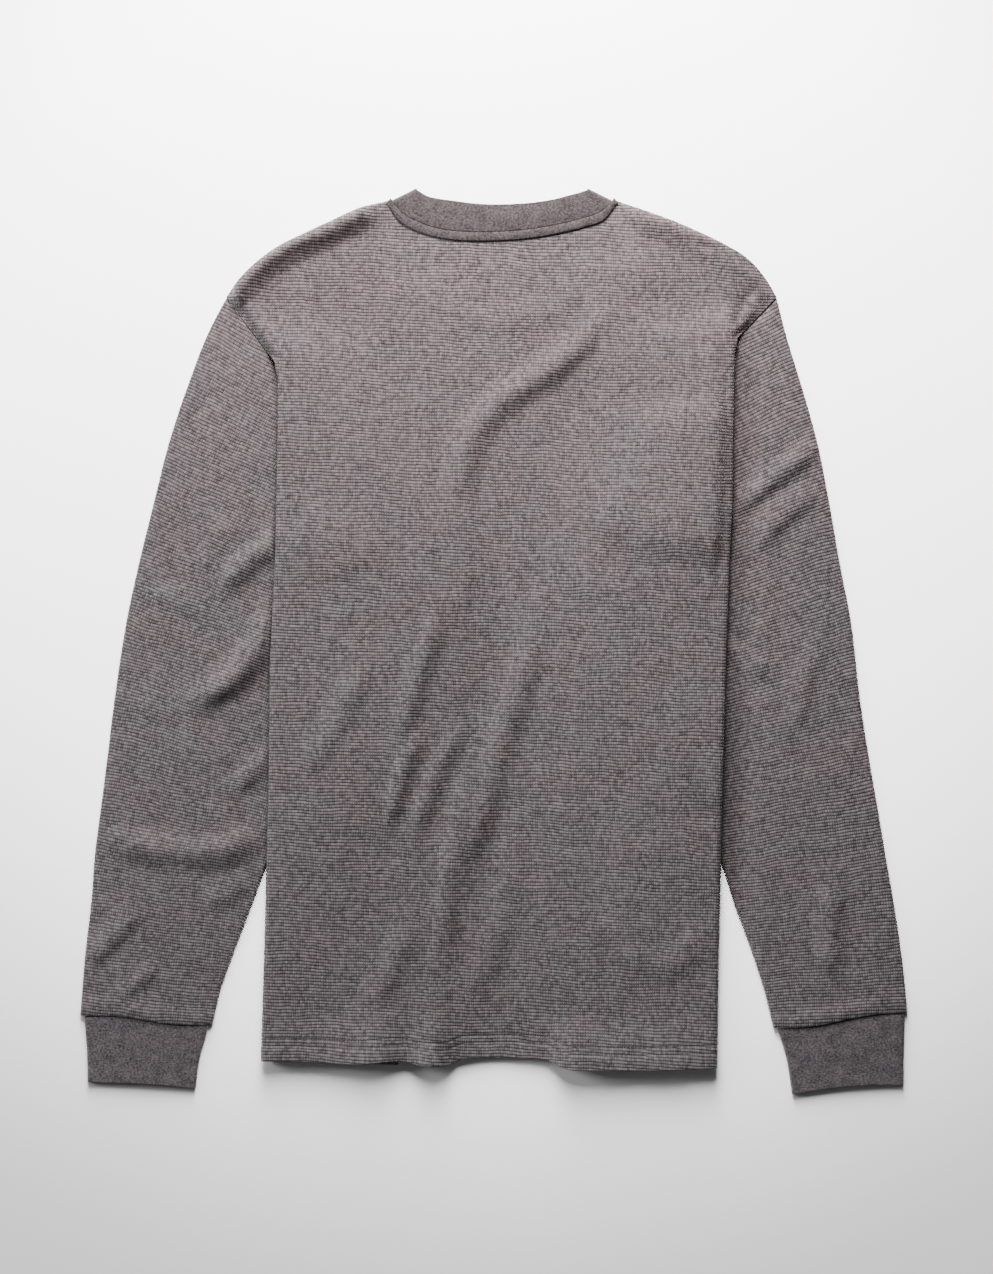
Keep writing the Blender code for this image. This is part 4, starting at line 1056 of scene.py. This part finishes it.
def waffle_material(name, tilt):
    """Waffle knit of a heathered yarn: rows of small raised cells, each row with its own streaks."""
    g = Graph(name)
    across, along = g.cloth_place()
    plain = g.vector(across, along)
    wander = g.minus(g.noise(plain, ROW_WANDER_NOISE), 0.5)
    drift = g.minus(g.noise(g.vector(along, across, 7.0), CELL_WANDER_NOISE), 0.5)
    level = g.plus(along, g.times(across, tilt))
    level = g.plus(level, g.times(wander, ROW_WANDER))
    level = g.plus(level, g.times(g.noise(plain, ROW_SHAKE_NOISE), ROW_SHAKE))
    row = g.math("DIVIDE", level, ROW_HEIGHT)
    cell = g.math("DIVIDE", g.plus(across, g.times(drift, CELL_WANDER)), CELL_WIDTH)
    row_number = g.math("FLOOR", row)
    cell_number = g.math("FLOOR", cell)
    # the cells of a row are parted more deeply in some places than in others
    depth = g.spread(g.noise(plain, PARTED_NOISE), 0.35, 0.65, *PARTED)
    parted = g.times(g.minus(1.0, g.ridge(cell, CELL_CREST)), depth)
    height = g.times(g.ridge(row, ROW_CREST), g.minus(1.0, parted))

    streak_place = g.vector(*map(g.times, (across, row_number), STREAK_STRETCH))
    streak = g.noise(streak_place, STREAK_NOISE)
    chance = g.node("ShaderNodeTexWhiteNoise", "Value", {"Vector": g.vector(row_number, cell_number)},
                    noise_dimensions="2D")
    cloud = g.noise(g.vector(g.times(across, CLOUD_STRETCH), along, 3.0), CLOUD_NOISE)
    # painted shade in the pits between the cells, on top of the bumps
    tone = g.times(height, PIT_SHADE_TONE)
    tone = g.plus(tone, g.spread(streak, 0.25, 0.75, *STREAK_TONE))
    tone = g.plus(tone, g.times(chance, CELL_TONE))
    tone = g.plus(tone, g.spread(cloud, 0.3, 0.7, *CLOUD_TONE), clamp=True)
    colour = g.mix(tone, KNIT_DARK, KNIT_LIGHT)
    patch = g.spread(g.noise(plain, PATCH_NOISE), 0.40, 0.60)
    # faint random patches of hue, then painted warm light that grows up the body
    up = g.spread(g.split(g.body_place())["Y"], WARM_FROM, WARM_TO)
    for part, tints in ((patch, PATCH_TINTS), (up, WARM_LIGHT_TINTS)):
        colour = g.mix(1.0, colour, g.mix(part, *tints), "MULTIPLY")

    soft = g.noise(g.vector(g.times(across, RUMPLE_STRETCH), along, 11.0), RUMPLE_NOISE)
    normal = g.bump(height, CELL_BUMP, Normal=g.bump(soft, RUMPLE_BUMP))
    return g.done({"Base Color": colour, "Normal": normal, "Roughness": 0.92, "Sheen Roughness": 0.6,
                   **FIBRE})


def jersey_material(name, dark, light):
    """Smooth jersey of the same heathered yarn: small curly specks on fine ribs of stitches."""
    g = Graph(name)
    across, along = g.cloth_place()
    plain = g.vector(across, along)
    speck = g.noise(plain, SPECK_NOISE)
    cloud = g.noise(plain, JERSEY_CLOUD_NOISE)
    streak_place = g.vector(*map(g.times, (across, along), JERSEY_STREAK_STRETCH), 2.0)
    streak = g.noise(streak_place, JERSEY_STREAK_NOISE)
    wale = g.math("COSINE", g.times(across, 2.0 * math.pi / WALE_WIDTH))
    tone = g.plus(g.spread(speck, 0.34, 0.66, -0.25, 0.65), g.spread(streak, 0.3, 0.7, -0.05, 0.5))
    tone = g.plus(tone, g.spread(cloud, 0.3, 0.7, -0.20, 0.20), clamp=True)
    normal = g.bump(g.plus(g.times(wale, WALE_PART), speck), JERSEY_BUMP)
    return g.done({"Base Color": g.mix(tone, dark, light), "Normal": normal, "Roughness": 0.9, **FIBRE})


def thread_material(name):
    g = Graph(name)
    darker = tuple(part * THREAD_SHADE for part in THREAD_COLOUR[:3]) + (1.0,)
    colour = g.mix(g.noise(g.body_place(), THREAD_NOISE), darker, THREAD_COLOUR)
    return g.done({"Base Color": colour, "Roughness": 0.8})


def floor_material():
    """White paper, with painted shade that turns it grey with distance from a lit middle, most towards its
    bottom edge.
    """
    g = Graph("paper_floor")
    away = g.node("ShaderNodeVectorMath", "Value", {0: g.body_place(), 1: PAPER_MIDDLE},
                  operation="DISTANCE")
    colour = g.mix(g.spread(away, LIGHT_REACH, PAINTED_SHADE_REACH, kind="SMOOTHSTEP"), PAPER_LIGHT, PAPER_PAINTED_SHADE)
    return g.done({"Base Color": colour, "Roughness": 0.8, "Specular IOR Level": 0.2})


# ---- pieces

STITCH_LENGTH = 2.3
STITCH_GAP = 0.8
STITCH_RADIUS = 0.28
STITCH_SIDES = 5
# Rings along a stitch: where along it, how thick, and how far sunk into the cloth
StitchRing = namedtuple("StitchRing", "part size sink")
STITCH_RINGS = table(StitchRing, (0.0, 0.5, 0.9), (0.25, 1.0, 0.2), (0.75, 1.0, 0.2), (1.0, 0.5, 0.9))
HEM_STITCH_INSETS = (17.0, 20.5)
ARMHOLE_STITCH_INSETS = (2.5, 8.0)
SLEEVE_STITCH_INSETS = (3.5, 9.0)
SLEEVE_STITCH_SPAN = (0.66, 0.995)  # parts of the sleeve's length
STITCH_MARGIN = 3.0  # a row of stitches ends this far from a fold or a corner
ARMHOLE_STITCH_START = 6.0  # and begins this far above the top of the side fold
HEM_LEVEL = -350.0  # height at which the hem's width is taken
HEM_POINTS = 180  # points along each kind of line
SLEEVE_POINTS = 160
ARMHOLE_POINTS = 30


def make_object(name, points, faces, material, corners=None):
    """A smooth mesh through points in millimetres, fixed to the body. Corners are its cloth map."""
    mesh = bpy.data.meshes.new(name)
    mesh.from_pydata(((np.array(points) + np.array(ORIGIN)) * MM).tolist(), [], faces)
    if corners is not None:
        layer = mesh.uv_layers.new(name="cloth")
        layer.data.foreach_set("uv", corners.reshape(-1).astype(np.float32))
    mesh.materials.append(material)
    mesh.validate()
    mesh.shade_smooth()
    piece = bpy.data.objects.new(name, mesh)
    bpy.context.scene.collection.objects.link(piece)
    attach(piece, "root")
    return piece


def make_piece(name, grid, wall, material, closed, node):
    """A sheet of cloth through a grid of points, given its thickness to both sides."""
    row_count, column_count = grid.shape[:2]
    last = column_count if closed else column_count - 1
    row, place = np.meshgrid(np.arange(row_count - 1), np.arange(last), indexing="ij")
    right = (place + 1) % column_count
    low = row * column_count
    high = low + column_count
    faces = np.stack((low + place, low + right, high + right, high + place), axis=-1).reshape(-1, 4)
    corners = (grid[..., 3:].reshape(-1, 2) / UV_UNIT)[faces]
    if closed:
        # the last column's faces run on instead of back to the start
        wrapped = (place == column_count - 1).reshape(-1)
        step = corners[np.roll(wrapped, -1)]
        for corner, beside in ((1, 0), (2, 3)):
            corners[wrapped, corner] = 2.0 * corners[wrapped, beside] - step[:, beside]
    piece = make_object(name, grid[..., :3].reshape(-1, 3), faces.tolist(), material, corners)
    solid = piece.modifiers.new("Wall", "SOLIDIFY")
    solid.thickness = wall * MM
    solid.offset = 0.0
    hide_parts(node)
    return piece


def stitch_row(points):
    """Small rounded stitches along a line, each pinched at its ends: vertices and faces."""
    points = np.asarray(points, float)
    travelled = distance_along(points)
    up = np.array((0.0, 0.0, 1.0))
    vertices = []
    faces = []
    start = 0.0
    while start + STITCH_LENGTH < travelled[-1]:
        places = [start + ring.part * STITCH_LENGTH for ring in STITCH_RINGS]
        centres = np.stack([np.interp(places, travelled, points[:, axis]) for axis in range(3)], axis=-1)
        run = centres[-1] - centres[0]
        run /= np.linalg.norm(run)
        aside = np.cross(run, up)
        aside /= np.linalg.norm(aside)
        base = len(vertices)
        for centre, ring in zip(centres, STITCH_RINGS):
            for turn in range(STITCH_SIDES):
                angle = 2.0 * math.pi * turn / STITCH_SIDES
                offset = aside * math.cos(angle) + up * (math.sin(angle) - ring.sink)
                vertices.append(centre + offset * STITCH_RADIUS * ring.size)
        for low in range(base, len(vertices) - STITCH_SIDES, STITCH_SIDES):
            high = low + STITCH_SIDES
            for turn in range(STITCH_SIDES):
                after = (turn + 1) % STITCH_SIDES
                faces.append((low + turn, low + after, high + after, high + turn))
        faces.append(tuple(reversed(range(base, base + STITCH_SIDES))))
        faces.append(tuple(range(len(vertices) - STITCH_SIDES, len(vertices))))
        start += STITCH_LENGTH + STITCH_GAP
    return vertices, faces


def make_stitches(name, lines):
    vertices = []
    faces = []
    for line in lines:
        more, more_faces = stitch_row(line)
        faces += [tuple(len(vertices) + index for index in face) for face in more_faces]
        vertices += more
    piece = make_object(name, vertices, faces, thread)
    return piece


def back_line(xs, ys):
    """A line of points on the top of the back panel."""
    line = []
    for x, y in zip(xs, ys):
        side = LEFT if x < 0.0 else RIGHT
        line.append((x, y, float(back_height(side, abs(x), y)) + WALL / 2.0))
    return line


def hem_line(inset):
    """A line of points on the back panel, this far above its hem."""
    left, right = (fold_out(side, HEM_LEVEL) - STITCH_MARGIN for side in (LEFT, RIGHT))
    xs = np.linspace(-left, right, HEM_POINTS)
    return back_line(xs, [float(hem_y(LEFT if x < 0.0 else RIGHT, abs(x))) + inset for x in xs])


def armhole_line(side, inset):
    """A line of points on the back panel beside the part of the armhole seam that shows."""
    start = FOLD_TOP[side][1] + ARMHOLE_STITCH_START
    ys = np.linspace(start, SHOULDER_TIP[side][1] - STITCH_MARGIN, ARMHOLE_POINTS)
    return back_line([side * (float(cut_half_width(side, y)) - inset) for y in ys], ys)


def sleeve_line(side, inset):
    """A line of points on top of a sleeve, beside its underarm seam."""
    line = []
    for along in np.linspace(*SLEEVE_STITCH_SPAN, SLEEVE_POINTS):
        width, place_of, upper, _ = sleeve_row(side, along)
        part = np.array([inset / width])
        x, y = place_of(part)[0]
        line.append((side * x, y, float(upper(part)[0]) + WALL / 2.0))
    return line


# ---- the top

body_knit = waffle_material("waffle_body", 0.045)
sleeve_knit = waffle_material("waffle_sleeve", 0.0)
# the neckband and tape take the darker copy of the jersey, with painted shade
jersey = jersey_material("jersey_collar_shaded", SHADED_BAND_DARK, SHADED_BAND_LIGHT)
cuff_jersey = jersey_material("jersey_cuff", CUFF_DARK, CUFF_LIGHT)
thread = thread_material("sewing_thread")

back = make_piece("back_cloth", body_panel(back_cloth()), WALL, body_knit, False,
                  "back_panel")
front = make_piece("front_cloth", body_panel(front_cloth()), WALL, body_knit, False,
                   "front_panel")
left_sleeve = make_piece("left_sleeve_cloth", sleeve(LEFT), WALL, sleeve_knit, True,
                         "sleeve_left")
right_sleeve = make_piece("right_sleeve_cloth", sleeve(RIGHT)[:, ::-1], WALL, sleeve_knit, True,
                          "sleeve_right")
left_cuff = make_piece("left_cuff_band", cuff(LEFT), BAND_WALL, cuff_jersey, True,
                       "cuff_left")
right_cuff = make_piece("right_cuff_band", cuff(RIGHT)[:, ::-1], BAND_WALL, cuff_jersey, True,
                        "cuff_right")
band = make_piece("neck_band", neckband(), BAND_WALL, jersey, True, "neckband")
binding = make_piece("neck_tape", neck_binding(), TAPE_WALL, jersey, False,
                     "neck_binding")

hem_stitches = make_stitches("hem_stitches", [hem_line(inset) for inset in HEM_STITCH_INSETS])
armhole_stitches = make_stitches("armhole_stitches", [
    armhole_line(side, inset) for side in (LEFT, RIGHT) for inset in ARMHOLE_STITCH_INSETS])
sleeve_stitches = [
    make_stitches("sleeve_stitches_" + SIDE_NAME[side],
                  [sleeve_line(side, inset) for inset in SLEEVE_STITCH_INSETS])
    for side in (LEFT, RIGHT)]

# ---- floor, light and camera

FLOOR_REACH = 4.0  # these are in metres and watts
FLOOR_DROP = 0.0003  # the floor is this far under the cloth
Lamp = namedtuple("Lamp", "name place aim size power")
SIDE_LAMP = Lamp("side_light", (-5.5, 1.83, 2.66), (0.0, 0.0, 0.0), 2.2, 300.0)
TOP_LAMP = Lamp("top_light", (0.0, 0.95, 0.5), (0.0, -0.1, 0.0), 0.5, 19.6)
TOP_LAMP_COLOUR = (1.0, 0.855, 0.885)
PAPER_LAMP = Lamp("paper_light", (-0.1, 1.55, 0.76), (0.0, 0.0, 0.0), 0.95, 298.0)
PAPER_LAMP_LENGTH = 2.4
SKY_STRENGTH = 0.1
CAMERA_PLACE = (0.00219, 0.00367, 2.978)
CAMERA_LENS = 100.0  # millimetres
CAMERA_SENSOR = 36.0

floor_corners = [(x * FLOOR_REACH, y * FLOOR_REACH, -FLOOR_DROP)
                 for x, y in ((-1, -1), (1, -1), (1, 1), (-1, 1))]
floor_mesh = bpy.data.meshes.new("floor")
floor_mesh.from_pydata(floor_corners, [], [(0, 1, 2, 3)])
floor_mesh.materials.append(floor_material())
floor = bpy.data.objects.new("floor", floor_mesh)
bpy.context.scene.collection.objects.link(floor)


def make_lamp(lamp):
    light = bpy.data.lights.new(lamp.name, "AREA")
    light.shape = "DISK"
    light.size = lamp.size
    light.energy = lamp.power
    made = bpy.data.objects.new(lamp.name, light)
    made.location = lamp.place
    way = np.array(lamp.aim) - np.array(lamp.place)
    way = way / np.linalg.norm(way)
    made.rotation_euler = (math.acos(-way[2]), 0.0, math.atan2(-way[0], way[1]))
    made.visible_camera = False
    bpy.context.scene.collection.objects.link(made)
    return made


make_lamp(SIDE_LAMP)
make_lamp(TOP_LAMP).data.color = TOP_LAMP_COLOUR

# A lamp for the paper alone, so that it comes out white
paper_light = make_lamp(PAPER_LAMP)
paper_light.data.shape = "ELLIPSE"
paper_light.data.size_y = PAPER_LAMP_LENGTH
lit_by_it = bpy.data.collections.new("paper")
lit_by_it.objects.link(floor)
paper_light.light_linking.receiver_collection = lit_by_it

world = bpy.data.worlds.new("studio")
world.use_nodes = True
sky = world.node_tree.nodes["Background"]
sky.inputs["Color"].default_value = (1.0, 1.0, 1.0, 1.0)
sky.inputs["Strength"].default_value = SKY_STRENGTH
bpy.context.scene.world = world

camera_data = bpy.data.cameras.new("camera")
camera_data.sensor_fit = "VERTICAL"
camera_data.sensor_height = CAMERA_SENSOR
camera_data.lens = CAMERA_LENS
camera = bpy.data.objects.new("camera", camera_data)
camera.location = CAMERA_PLACE
bpy.context.scene.collection.objects.link(camera)
bpy.context.scene.camera = camera
